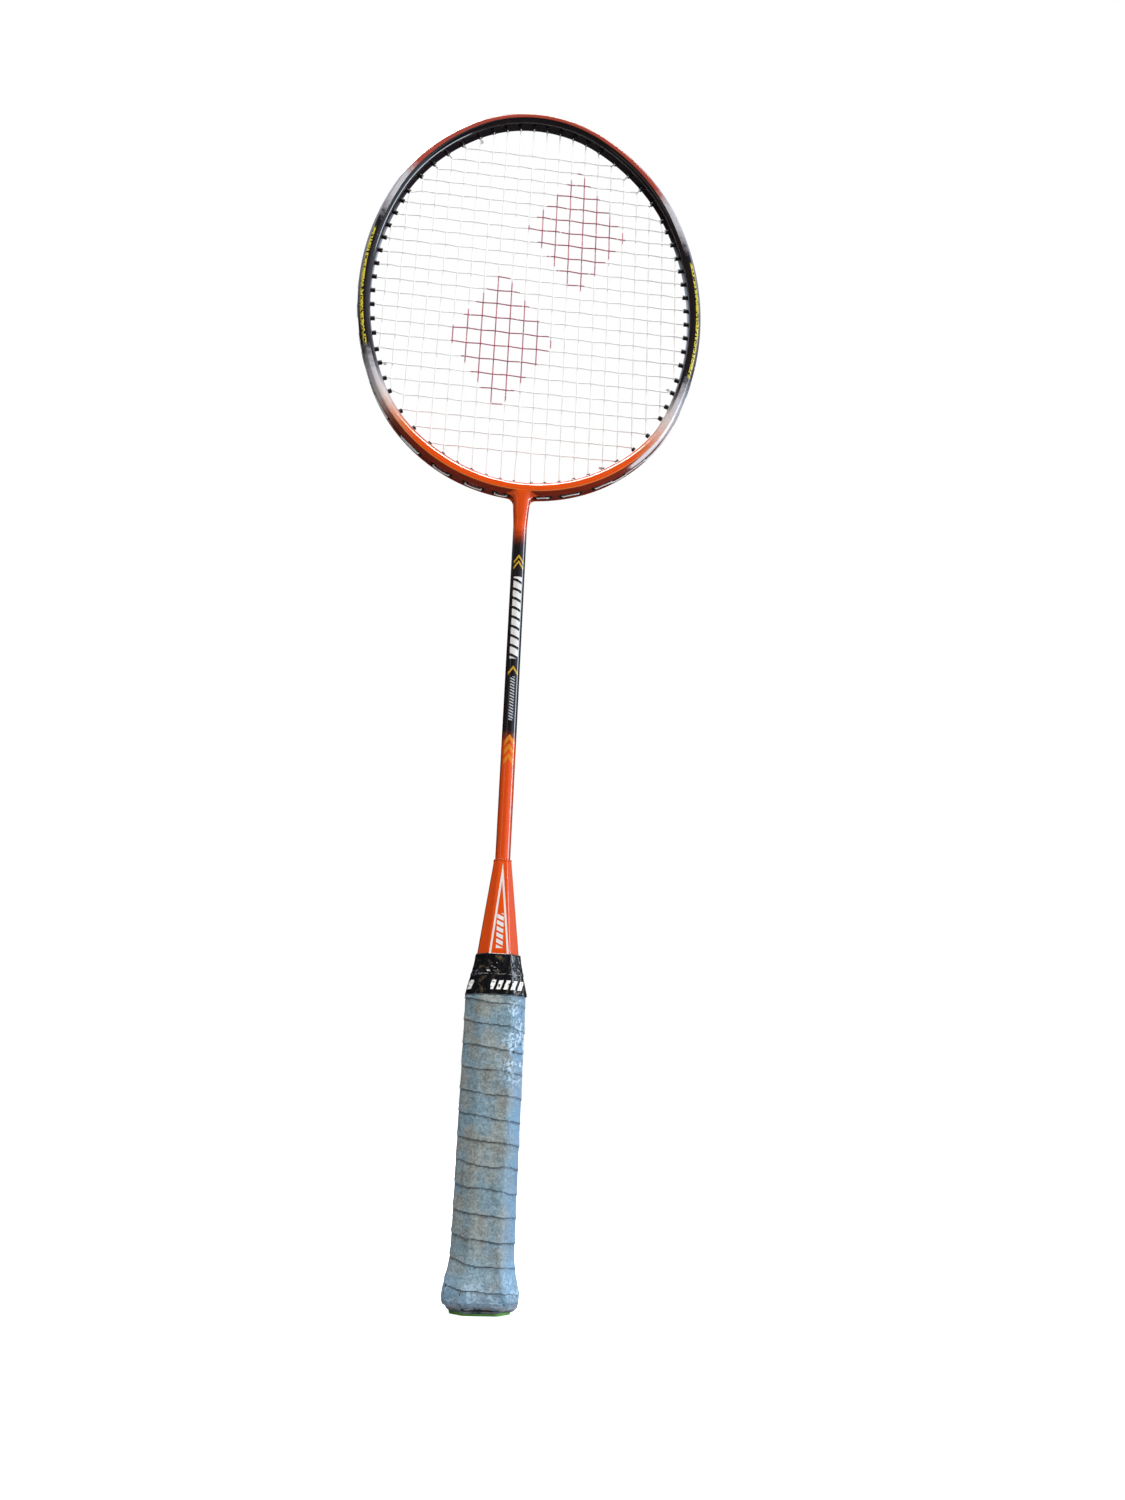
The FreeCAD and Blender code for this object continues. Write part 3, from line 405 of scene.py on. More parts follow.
def wrap_radius(angle, height, growth):
    """Side of the wrapped handle, which narrows above the taper towards the cone."""
    flare_heights, shares = zip(*FLARE_SHARES)
    flare = FLARE * np.interp(height, flare_heights, shares)
    share = np.clip((height - TAPER_START) / (CONE_LOW.z - TAPER_START), 0, 1)
    width = blend(GRIP_WIDTH, CONE_BASE[0] + WRAP_OVER_CONE, share) + flare
    depth = blend(GRIP_DEPTH, CONE_BASE[1] + WRAP_OVER_CONE, share) + flare
    bevel = blend(GRIP_BEVEL, CONE_BASE[2], share)
    return octagon_radius(angle, width, depth, bevel, GRIP_SHARPNESS) + growth


def spiral(angle, height):
    """Turns of the overgrip below a point; a whole number lies on a seam."""
    front = -math.pi / 2
    return (height - SEAM_AT_FRONT) / SEAM_PITCH + (angle - front) / (2 * math.pi)


def overgrip():
    """The wound overgrip: stepped seams, slack, creases and a torn, frayed edge at the butt."""
    fine_rows = np.arange(GRIP_LOW.z - 0.4, GRIP_LOW.z + 5.0, 0.2)
    coarse_rows = np.arange(GRIP_LOW.z + 5.0, GRIP_HIGH.z - 4.0, 0.4)
    radius = GRIP_WIDTH / 2

    def wander(angle, height):
        return SEAM_WANDER * crumple(angle, radius, height, size=14.0, seed=3.0, octaves=3)

    def outside(angle, height):
        turns = spiral(angle, height) + wander(angle, height)
        share = turns - np.floor(turns)
        step = SEAM_STEP * np.exp(-share * 4.0) * (0.75 + 6.0 * wander(angle, height))
        crevice = -CREVICE_DEPTH * np.exp(-(((share - 1.0) / 0.03) ** 2))
        slack = SLACK * crumple(angle, radius, height, size=7.0, seed=11.0)
        folded = crumple(angle, radius, height * 2.5, size=9.0, seed=23.0)
        creases = -CREASE_DEPTH * np.exp(-((folded / 0.07) ** 2))
        tangle = crumple(angle, radius, height, size=1.6, seed=31.0)
        fray = smooth_step(height, 9.0, 1.0) * FRAY * tangle
        full = wrap_radius(angle, height, WRAP_GROWTH) + step + crevice + slack + creases + fray
        torn = smooth_step(np.cos(angle - TORN_ANGLE), -0.2, 0.9)
        ragged = crumple(angle, radius, 0 * height, size=2.5, seed=47.0)
        edge = GRIP_LOW.z + TORN_HEIGHT * torn + RAGGED_HEIGHT * ragged
        return blend(inside(angle, height), full, smooth_step(height, edge - 0.5, edge + 0.7))

    def inside(angle, height):
        return wrap_radius(angle, height, WRAP_GROWTH - WRAP_THICKNESS)

    heights = np.concatenate([fine_rows, coarse_rows])
    return sleeve("overgrip_wrap", heights, outside, inside, 288, wander=wander)


TAPE_OVER_WRAP = 0.35
TAPE_OVER_CONE = 0.4
TAPE_EDGE_ROUNDING = 0.2
PUCKER = 0.24
FOLD_DEPTH = 0.18
FLAP_HEIGHT = 0.28
FLAP_ANGLE = -0.75


def tape(name, low, high, growth, seed):
    """One glossy finishing tape, stretched over the step below it, with puckers and an end flap."""
    heights = np.linspace(low, high, int((high - low) / 0.2))
    radius = GRIP_WIDTH / 2

    def outside(angle, height):
        edge = np.minimum(height - low, high - height)
        rounding = -TAPE_EDGE_ROUNDING * np.exp(-edge / 0.25)
        puckers = PUCKER * crumple(angle, radius, height * 0.45, size=5.0, seed=seed)
        folded = crumple(angle, radius, height, size=8.0, seed=seed + 7)
        folds = -FOLD_DEPTH * np.exp(-((folded / 0.06) ** 2))
        past_flap = np.maximum(angle - FLAP_ANGLE, 0)
        flap = FLAP_HEIGHT * np.exp(-past_flap * 1.5) * (angle > FLAP_ANGLE)
        below = wrap_radius(angle, np.minimum(height, CONE_LOW.z), TAPE_OVER_WRAP)
        above = cone_radius(angle, np.maximum(height, CONE_LOW.z), TAPE_OVER_CONE)
        body = blend(below, above, smooth_step(height, CONE_LOW.z - 3.0, CONE_LOW.z + 4.0))
        return body + growth + rounding + puckers + folds + flap

    def inside(angle, height):
        return cone_radius(angle, np.maximum(height, CONE_LOW.z - 12), -0.6)

    return sleeve(name, heights, outside, inside)


DISC_BEVEL = 6.0
DISC_SHARPNESS = 40
DISC_HOLLOW = 0.25


def end_disc():
    """The coloured plate under the butt, with a rounded rim and a slightly hollow face."""
    width = DISC_HIGH.x - DISC_LOW.x
    depth = DISC_HIGH.y - DISC_LOW.y
    high = DISC_HIGH.z
    angle = np.linspace(-math.pi, math.pi, 192, endpoint=False)
    edge = octagon_radius(angle, width, depth, DISC_BEVEL, DISC_SHARPNESS)
    corners = [(0.0, DISC_HOLLOW), (0.6, 0.0), (1.0, 0.0), (1.0, high), (0.0, high)]
    rows = []
    for share, height in round_corners(corners, (0.2, 0.03, 0.03)):
        reach = edge * max(share, 0.001)
        level = np.full_like(reach, height)
        rows.append(np.stack([reach * np.cos(angle), reach * np.sin(angle), level], axis=1))
    return face_outwards(grid_piece("end_disc", np.array(rows), True))


# ---------------------------------------------------------------- materials


def rgb(red, green, blue):
    """Linear colour of a screen colour given as 0-255."""
    linear = []
    for part in (red, green, blue):
        share = part / 255
        linear.append(share / 12.92 if share <= 0.04045 else ((share + 0.055) / 1.055) ** 2.4)
    return (*linear, 1.0)


class Nodes:
    """Builds a node tree from small named steps."""

    def __init__(self, tree):
        self.tree = tree

    def new(self, kind):
        return self.tree.nodes.new("ShaderNode" + kind)

    def feed(self, socket, content):
        """Link another socket to this one, or give it a plain value."""
        if isinstance(content, bpy.types.NodeSocket):
            self.tree.links.new(content, socket)
        else:
            socket.default_value = content

    def math(self, operation, *values):
        node = self.new("Math")
        node.operation = operation
        for socket, content in zip(node.inputs, values):
            self.feed(socket, content)
        return node.outputs[0]

    def add(self, *values):
        total = values[0]
        for content in values[1:]:
            total = self.math("ADD", total, content)
        return total

    def times(self, *values):
        total = values[0]
        for content in values[1:]:
            total = self.math("MULTIPLY", total, content)
        return total

    def scale(self, vector, factor):
        node = self.new("VectorMath")
        node.operation = "SCALE"
        self.feed(node.inputs[0], vector)
        self.feed(node.inputs["Scale"], factor)
        return node.outputs[0]

    def split(self, vector):
        node = self.new("SeparateXYZ")
        self.feed(node.inputs[0], vector)
        return node.outputs

    def slope(self, value, limits, results=(0.0, 1.0), shape="LINEAR"):
        """The value carried from between the limits to between the results, and held outside."""
        node = self.new("MapRange")
        node.interpolation_type = shape
        self.feed(node.inputs["Value"], value)
        for name, number in zip(("From Min", "From Max", "To Min", "To Max"), (*limits, *results)):
            node.inputs[name].default_value = number
        return node.outputs["Result"]

    def rise(self, value, low, high):
        """0 below low, 1 above high, smooth between; a low above high gives a fall."""
        if low < high:
            return self.slope(value, (low, high), (0.0, 1.0), "SMOOTHSTEP")
        return self.slope(value, (high, low), (1.0, 0.0), "SMOOTHSTEP")

    def band(self, value, low, high, soft=0.1):
        """1 between low and high."""
        above_low = self.rise(value, low - soft, low + soft)
        below_high = self.rise(value, high + soft, high - soft)
        return self.times(above_low, below_high)

    def repeat(self, value, pitch):
        """0 to 1 again and again along a value."""
        return self.math("FRACT", self.math("DIVIDE", value, pitch))

    def mix(self, share, first, second):
        """The first colour at a share of 0, the second at 1."""
        node = self.new("Mix")
        node.data_type = "RGBA"
        self.feed(node.inputs["Factor"], share)
        self.feed(node.inputs[6], first)
        self.feed(node.inputs[7], second)
        return node.outputs[2]

    def ramp(self, value, stops):
        """Colour along a value of 0..1, from (place, colour) stops."""
        node = self.new("ValToRGB")
        self.feed(node.inputs[0], value)
        points = node.color_ramp.elements
        while len(points) < len(stops):
            points.new(0.5)
        for point, (place, tint) in zip(points, stops):
            point.position = place
            point.color = tint
        return node.outputs[0]


class Look(Nodes):
    """One procedural material. Lengths in it are millimetres."""

    def __init__(self, name):
        self.material = bpy.data.materials.new(name)
        self.material.use_nodes = True
        super().__init__(self.material.node_tree)
        self.surface = self.tree.nodes["Principled BSDF"]
        self.place = self.scale(self.new("TexCoord").outputs["Object"], 1 / MM)
        self.x, self.y, self.z = self.split(self.place)

    def noise(self, size, detail=3.0, stretch=(1, 1, 1), seed=0.0):
        """Noise of 0..1 with features of about this size."""
        mapping = self.new("Mapping")
        mapping.inputs["Scale"].default_value = [1 / (size * s) for s in stretch]
        mapping.inputs["Location"].default_value = (seed, seed, seed)
        self.feed(mapping.inputs["Vector"], self.place)
        node = self.new("TexNoise")
        node.inputs["Scale"].default_value = 1.0
        node.inputs["Detail"].default_value = detail
        self.feed(node.inputs["Vector"], mapping.outputs[0])
        return node.outputs[0]

    def attribute(self, name):
        """A value kept on the points of the mesh."""
        node = self.new("Attribute")
        node.attribute_name = name
        return node.outputs["Fac"]

    def front(self):
        """1 on the side that faces the front, 0 behind."""
        return self.rise(self.y, 0.0, -0.8)

    def sprayed(self, value, size, reach):
        """The value, unsettled by up to half the reach each way, for the edge of a sprayed fade."""
        return self.add(value, self.times(self.add(self.noise(size, 5.0, seed=5.0), -0.5), reach))

    def finish(self, tint, roughness, height, bump, **others):
        """Connect colour, roughness, a bump of height times `bump` mm, and other named inputs."""
        self.feed(self.surface.inputs["Base Color"], tint)
        self.feed(self.surface.inputs["Roughness"], roughness)
        for name, content in others.items():
            socket_name = name.replace("_", " ").title().replace("Ior", "IOR")
            self.feed(self.surface.inputs[socket_name], content)
        node = self.new("Bump")
        node.inputs["Distance"].default_value = bump * MM
        self.feed(node.inputs["Height"], height)
        self.feed(self.surface.inputs["Normal"], node.outputs[0])
        return self.material


ORANGE = rgb(240, 82, 8)
SHADED_ORANGE = rgb(104, 18, 4)
HIGHLIGHT_ORANGE = rgb(255, 176, 90)
AMBER = rgb(236, 140, 30)
SALMON = rgb(176, 72, 54)
SILVER = rgb(206, 202, 206)
BLACK = rgb(12, 13, 18)
GOLD = rgb(214, 168, 40)
WHITE = rgb(244, 242, 238)
YELLOW = rgb(226, 208, 60)
CRIMSON = rgb(166, 10, 72)
PALE_GREY = rgb(200, 204, 210)
BARE_RIM = rgb(150, 142, 140)


def lacquer(look, paint):
    """Glossy clear-coated paint with chips and scratches, and painted shade that darkens it where the
    surface turns edge-on to the view.
    """
    chips = look.rise(look.noise(1.3, 5.0, seed=4.0), 0.71, 0.76)
    scratches = look.rise(look.noise(0.5, 2.0, (1, 1, 18), 9.0), 0.72, 0.8)
    wear = look.math("MAXIMUM", chips, look.times(scratches, 0.35))
    height = look.add(look.noise(1.1, 2.0, seed=2.0), look.times(wear, -1.5))
    cloudy = look.mix(look.times(look.noise(9.0, 4.0), 0.16), paint, rgb(60, 20, 12))
    # Painted shade: the paint darkens towards a dark red-brown where the surface is seen edge-on.
    glancing_shade = look.rise(look.new("LayerWeight").outputs["Facing"], 0.15, 0.95)
    deep = look.mix(look.times(glancing_shade, 0.75), cloudy, rgb(46, 20, 22))
    worn = look.mix(look.times(wear, 0.7), deep, rgb(150, 140, 135))
    uneven = look.times(look.noise(6.0, 3.0, seed=7.0), 0.12)
    roughness = look.add(0.26, look.times(wear, 0.4), uneven)
    coat = {"coat_weight": 1.0, "coat_roughness": 0.1, "coat_ior": 1.7}
    return look.finish(worn, roughness, height, 0.008, specular_ior_level=0.0, **coat)


# Rim paint from the crown to the throat, as (share of the half turn, colour) stops.
RIM_FADES = (
    (0.0, SALMON),
    (0.315, SALMON),
    (0.35, SILVER),
    (0.385, SILVER),
    (0.42, BLACK),
    (0.575, BLACK),
    (0.61, SILVER),
    (0.655, rgb(226, 208, 200)),
    (0.72, rgb(226, 120, 74)),
    (0.76, ORANGE),
    (1.0, ORANGE),
)


def rim_ticks(look, turn, offset, paint):
    """Small yellow ticks halfway down the sides and white ones at the crown."""
    dash = look.rise(look.noise(0.9, 0.0, (1, 1, 1.6), 3.0), 0.4, 0.46)
    side_line = look.band(offset, -3.5, -1.6, 0.1)
    side_ticks = look.times(dash, side_line, look.band(turn, 78.0, 104.0, 0.5))
    paint = look.mix(side_ticks, paint, YELLOW)
    crown_line = look.band(offset, -2.6, -1.4, 0.1)
    crown_ticks = look.times(dash, crown_line, look.band(turn, -1.0, 11.0, 0.4))
    return look.mix(crown_ticks, paint, WHITE)


def rim_look():
    """Rim paint: red-orange crown, silver fades, black sides and an orange throat, with painted shade
    on the lower flank and a painted highlight on its ridge near the throat.

    Its zones are laid out by turn in degrees and by offset, which is negative inside the outline.
    """
    look = Look("rim_lacquer")
    turn = look.attribute("turn")
    offset = look.attribute("offset")
    paint = look.ramp(look.math("DIVIDE", look.sprayed(turn, 2.5, 7.0), 180.0), RIM_FADES)
    inner_wall = look.times(look.rise(offset, -4.9, -5.3), look.rise(turn, 116.0, 106.0))
    paint = look.mix(inner_wall, paint, BLACK)
    lower = look.rise(turn, 116.0, 130.0)
    # Painted shade: the downward-facing outer flank near the throat is darkened.
    shaded_flank = look.times(look.rise(offset, -2.5, -1.9), lower)
    paint = look.mix(look.times(shaded_flank, 0.85), paint, SHADED_ORANGE)
    # Painted highlight: a thin light line along the ridge near the throat.
    ridge = look.times(look.band(offset, -2.75, -2.35, 0.12), lower)
    paint = look.mix(look.times(ridge, 0.5), paint, HIGHLIGHT_ORANGE)
    paint = rim_ticks(look, turn, offset, paint)
    scuffs = look.times(
        look.rise(look.noise(2.2, 6.0, seed=13.0), 0.56, 0.64),
        look.rise(offset, -2.2, -0.4),
        look.rise(turn, 60.0, 20.0),
    )
    return lacquer(look, look.mix(look.times(scuffs, 0.6), paint, BARE_RIM))


CHEVRON_LEAN = 1.4


def chevron(look, top, height):
    """Mask of one upward chevron on the front of the shaft, its tip at the height `top`."""
    aside = look.math("ABSOLUTE", look.x)
    edge = look.add(look.z, look.times(aside, CHEVRON_LEAN))
    within_reach = look.rise(aside, 2.7, 2.4)
    return look.times(look.band(edge, top - height, top, 0.15), look.front(), within_reach)


def bars(look, low, high, pitch, half_width, share):
    """Mask of a column of plain slanted bars on the front; the share is what a bar fills."""
    slanted = look.add(look.z, look.times(look.x, 0.45))
    ladder = look.rise(look.repeat(slanted, pitch), share + 0.05, share - 0.05)
    reach = look.rise(look.math("ABSOLUTE", look.x), half_width + 0.1, half_width - 0.1)
    return look.times(ladder, reach, look.band(look.z, low, high, 0.1), look.front())


# Marks on the shaft, by their distance below its top.
GOLD_CHEVRONS = (17.0, 20.4, 81.0)
AMBER_CHEVRONS = (118.5, 123.5, 128.5)
WHITE_BARS = (77.0, 30.0)
SMALL_BARS = (111.0, 87.0)

# Heights over which the black of the shaft fades in and out.
LOWER_FADE = (SHAFT_HIGH.z - 126.0, SHAFT_HIGH.z - 116.0)
NECK_FADE = (SHAFT_HIGH.z + 2.0, SHAFT_HIGH.z - 12.0)


def shaft_look():
    """Orange neck, black middle with gold chevrons and plain bars, orange above the cone."""
    look = Look("shaft_lacquer")
    height = look.sprayed(look.z, 2.0, 6.0)
    black = look.times(look.rise(height, *LOWER_FADE), look.rise(height, *NECK_FADE))
    paint = look.mix(black, ORANGE, BLACK)
    for below in GOLD_CHEVRONS:
        paint = look.mix(chevron(look, SHAFT_HIGH.z - below, 1.6), paint, GOLD)
    for below in AMBER_CHEVRONS:
        paint = look.mix(chevron(look, SHAFT_HIGH.z - below, 2.8), paint, AMBER)
    low, high = (SHAFT_HIGH.z - below for below in WHITE_BARS)
    paint = look.mix(bars(look, low, high, pitch=5.4, half_width=2.2, share=0.7), paint, WHITE)
    low, high = (SHAFT_HIGH.z - below for below in SMALL_BARS)
    paint = look.mix(bars(look, low, high, pitch=1.6, half_width=1.1, share=0.5), paint, PALE_GREY)
    return lacquer(look, paint)


def throat_look():
    """Orange, running into the black of the shaft."""
    look = Look("throat_lacquer")
    black = look.rise(look.sprayed(look.z, 2.0, 6.0), *NECK_FADE)
    return lacquer(look, look.mix(black, ORANGE, BLACK))


WEDGE_LINE = 0.95
WEDGE_BELOW_TOP = 2.0


def cone_look():
    """Orange facets; a thin white wedge outlines the front and back facets."""
    look = Look("cone_lacquer")
    width, _, bevel = CONE_BASE
    base = CONE_LOW.z
    apex = CONE_HIGH.z - WEDGE_BELOW_TOP
    half_base = width / 2 - bevel - 0.1
    edge = look.times(look.math("SUBTRACT", apex, look.z), half_base / (apex - base))
    inside = look.math("SUBTRACT", edge, look.math("ABSOLUTE", look.x))
    line = look.band(inside, 0.0, WEDGE_LINE, 0.08)
    flat_faces = look.rise(look.math("ABSOLUTE", look.y), 3.0, 3.6)
    paint = look.mix(look.times(line, flat_faces), ORANGE, WHITE)
    low, high = base + 10.0, base + 27.0
    paint = look.mix(bars(look, low, high, pitch=3.0, half_width=1.6, share=0.66), paint, WHITE)
    return lacquer(look, paint)


def grip_cloth(look):
    """Clouds of taupe and blue-grey with darker streaks and a fine light and dark mottle."""
    clouds = look.noise(11.0, 5.0, seed=1.0)
    tint = look.mix(look.rise(clouds, 0.38, 0.62), rgb(148, 152, 146), rgb(126, 154, 168))
    streaks = look.rise(look.noise(5.0, 4.0, (1, 1, 2.5), 6.0), 0.5, 0.7)
    tint = look.mix(look.times(streaks, 0.5), tint, rgb(92, 94, 90))
    mottle = look.noise(1.1, 6.0, seed=41.0)
    tint = look.mix(look.times(look.rise(mottle, 0.5, 0.62), 0.4), tint, rgb(168, 190, 198))
    return look.mix(look.times(look.rise(mottle, 0.46, 0.34), 0.35), tint, rgb(80, 88, 90))


def grip_blue_and_sky_reflection(look, butt_zone):
    """Mask of the bluer right side, the sides of the butt and its lower end; on the right the blue is
    partly the cloth's own tint and partly a painted reflection of the sky light from that side.
    """
    butt_sides = look.times(look.rise(look.math("ABSOLUTE", look.x), 7.0, 15.0), butt_zone)
    sides = look.math("MAXIMUM", look.rise(look.x, 5.0, 13.0), butt_sides)
    return look.math("MAXIMUM", sides, look.rise(look.z, 16.0, 4.0))


def grip_seam_shade(look):
    """Mask of painted shade that darkens the wound seams here and there."""
    start = 40.25  # a quarter turn round to the front, and whole turns that change nothing
    angle = look.math("DIVIDE", look.math("ARCTAN2", look.y, look.x), 2 * math.pi)
    rows = look.math("DIVIDE", look.math("SUBTRACT", look.z, SEAM_AT_FRONT), SEAM_PITCH)
    share = look.math("FRACT", look.add(rows, angle, look.attribute("wander"), start))
    seam = look.math("MAXIMUM", look.rise(share, 0.86, 1.0), look.rise(share, 0.03, 0.0))
    return look.times(seam, look.rise(look.noise(9.0, 3.0, seed=17.0), 0.3, 0.55))


def overgrip_look():
    """Dirty grey overgrip: clouded cloth, painted shade in the seams, and peeled and frayed spots."""
    look = Look("overgrip_worn")
    tint = grip_cloth(look)
    butt_zone = look.rise(look.z, 26.0, 8.0)
    edges = grip_blue_and_sky_reflection(look, butt_zone)
    # Bluer tint: partly the cloth's own colour, partly a painted reflection of the sky light on the
    # right.
    tint = look.mix(look.times(edges, 0.6), tint, rgb(110, 156, 194))
    # Painted shade in the wound seams.
    tint = look.mix(look.times(grip_seam_shade(look), 0.5), tint, rgb(58, 60, 62))
    top_zone = look.times(look.rise(look.z, 88.0, 108.0), look.rise(look.x, -2.0, 9.0))
    worn_zone = look.math("MAXIMUM", top_zone, look.times(butt_zone, 0.45))
    patches = look.rise(look.noise(7.0, 3.0, seed=61.0), 0.46, 0.56)
    crackle = look.rise(look.noise(1.6, 8.0, seed=21.0), 0.47, 0.53)
    peel = look.times(patches, crackle, worn_zone)
    tint = look.mix(look.times(peel, 0.85), tint, rgb(196, 224, 244))
    specks = look.rise(look.noise(1.4, 6.0, seed=8.0), 0.58, 0.66)
    grime = look.times(specks, look.math("MAXIMUM", worn_zone, look.rise(look.z, 12.0, 1.0)))
    tint = look.mix(look.times(grime, 0.75), tint, rgb(52, 46, 46))
    threads = look.rise(look.noise(0.9, 4.0, seed=29.0), 0.48, 0.56)
    frayed = look.times(look.rise(look.z, 6.0, 2.0), threads)
    tint = look.mix(look.times(frayed, 0.8), tint, rgb(206, 184, 176))
    uneven = look.times(look.noise(3.0, 4.0, seed=12.0), 0.3)
    roughness = look.add(0.5, uneven, look.times(peel, -0.12))
    pores = look.times(look.noise(0.5, 3.0, seed=3.0), 0.5)
    height = look.add(pores, look.noise(2.4, 5.0, seed=31.0), look.times(peel, -0.5))
    return look.finish(tint, roughness, height, 0.35, sheen_weight=0.1)


def tape_blocks(look):
    """Mask of the plain slanted blocks round the front of the lower tape, rubbed off in places."""
    slanted = look.add(look.x, look.times(look.z, -0.35), 60.0)
    blocks = look.rise(look.repeat(slanted, 3.4), 0.62, 0.56)
    right_part = look.band(look.x, -3.4, 12.6, 0.1)
    left_part = look.rise(look.x, -11.0, -11.2)
    zone = look.math("MAXIMUM", right_part, left_part)
    middle = (LOWER_TAPE_LOW.z + LOWER_TAPE_HIGH.z) / 2 - 0.6
    row = look.band(look.z, middle - 2.2, middle + 2.2, 0.1)
    rubbed = look.rise(look.noise(1.2, 4.0, seed=6.0), 0.36, 0.42)
    return look.times(blocks, zone, row, rubbed, look.rise(look.y, 2.0, 0.0))


def tape_look():
    """Glossy black vinyl with dust, browner and stronger on the front where it also paints a
    reflection, a rubbed overlap and plain blocks on the lower tape.
    """
    look = Look("tape_vinyl")
    dust = look.rise(look.noise(3.5, 6.0, seed=2.0), 0.55, 0.75)
    # Dust on the front, brown and raised so that it also paints a reflection.
    front_dust_and_reflection = look.times(dust, 0.6, look.rise(look.y, 0.0, -8.0))
    tint = look.mix(front_dust_and_reflection, rgb(8, 9, 13), rgb(112, 98, 74))
    rub = look.rise(look.noise(1.2, 4.0, seed=23.0), 0.42, 0.55)
    overlap = look.band(look.z, UPPER_TAPE_LOW.z - 0.7, UPPER_TAPE_LOW.z - 0.2, 0.1)
    tint = look.mix(look.times(overlap, rub, 0.7), tint, rgb(150, 146, 140))
    tint = look.mix(tape_blocks(look), tint, WHITE)
    roughness = look.add(0.07, look.times(dust, 0.15))
    pores = look.times(look.noise(0.6, 2.0), 0.1)
    height = look.add(look.noise(3.0, 4.0, (1, 1, 0.6), 3.0), pores)
    return look.finish(tint, roughness, height, 0.25)


# Lozenges printed on the strings: centre x, depth below the crown, half width, half height.
LOZENGES = ((25.0, 82.9, 30.0, 46.0), (-17.0, 162.9, 31.0, 48.0))


def string_look():
    """Pale nylon with two printed crimson lozenges."""
    look = Look("string_nylon")
    dirt = look.noise(6.0, 4.0, seed=2.0)
    tint = look.mix(look.times(dirt, 0.35), rgb(252, 250, 247), rgb(226, 219, 212))
    for centre_x, depth, half_width, half_height in LOZENGES:
        x = look.math("ABSOLUTE", look.math("SUBTRACT", look.x, centre_x))
        z = look.math("ABSOLUTE", look.math("SUBTRACT", look.z, CROWN - depth))
        reach = look.add(look.math("DIVIDE", x, half_width), look.math("DIVIDE", z, half_height))
        ink = look.rise(look.noise(2.0, 4.0), 0.3, 0.4)
        printed = look.times(look.rise(reach, 1.02, 0.98), ink, 0.92)
        tint = look.mix(printed, tint, CRIMSON)
    roughness = look.add(0.3, look.times(dirt, 0.2))
    twist = look.noise(0.35, 2.0, seed=4.0)
    return look.finish(tint, roughness, twist, 0.05)


def plain_look(name, tint, shade, roughness, size, bump):
    """A material with cloudy colour, uneven gloss and a grain of this size."""
    look = Look(name)
    clouds = look.noise(size * 4, 4.0, seed=1.0)
    grain = look.noise(size, 4.0, seed=5.0)
    clouded = look.mix(look.rise(clouds, 0.35, 0.7), tint, shade)
    uneven = look.add(roughness, look.times(grain, 0.15))
    return look.finish(clouded, uneven, grain, bump)


def wood_look():
    """Pale wood with grain along the handle."""
    look = Look("handle_wood")
    grain = look.noise(1.6, 6.0, (1, 1, 14), 2.0)
    tint = look.mix(look.rise(grain, 0.35, 0.65), rgb(206, 170, 120), rgb(160, 116, 70))
    return look.finish(tint, look.add(0.55, look.times(grain, 0.2)), grain, 0.2)


# ---------------------------------------------------------------- assembling

LOWER_TAPE_LAP = 0.4
UPPER_TAPE_LAP = 0.6
UPPER_TAPE_GROWTH = 0.3


def dress(piece, look, slot, *stood_for):
    """Give a new piece its material and let it stand for CAD nodes; slot is not used."""
    piece.data.materials.clear()
    piece.data.materials.append(look)
    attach(piece, "root")
    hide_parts(*stood_for)


def dress_node(node, look):
    """Give a carried-over CAD node a procedural material."""
    piece = frame["nodes"][node]
    piece.data.materials.clear()
    piece.data.materials.append(look)


def build_object():
    """The visible outside as new pieces, each standing for the CAD node it covers."""
    dress(rim(), rim_look(), "painted_rim", "head_frame")
    dress(throat(), throat_look(), "painted_throat", "throat_fairing")
    dress(shaft(), shaft_look(), "painted_shaft", "shaft")
    dress(cone(), cone_look(), "cone", "cone_cap")
    dress(overgrip(), overgrip_look(), "overgrip", "overgrip")
    vinyl = tape_look()
    lower_end = LOWER_TAPE_HIGH.z + LOWER_TAPE_LAP
    lower = tape("tape_lower", LOWER_TAPE_LOW.z, lower_end, growth=0.0, seed=41.0)
    dress(lower, vinyl, "tape", "finishing_tape_lower")
    upper_start = UPPER_TAPE_LOW.z - UPPER_TAPE_LAP
    upper = tape("tape_upper", upper_start, UPPER_TAPE_HIGH.z, UPPER_TAPE_GROWTH, seed=57.0)
    dress(upper, vinyl, "tape", "finishing_tape_upper")
    light, deep = rgb(150, 226, 104), rgb(120, 204, 84)
    green = plain_look("disc_green", light, deep, roughness=0.35, size=1.5, bump=0.1)
    dress(end_disc(), green, "disc", "butt_cap_disc")


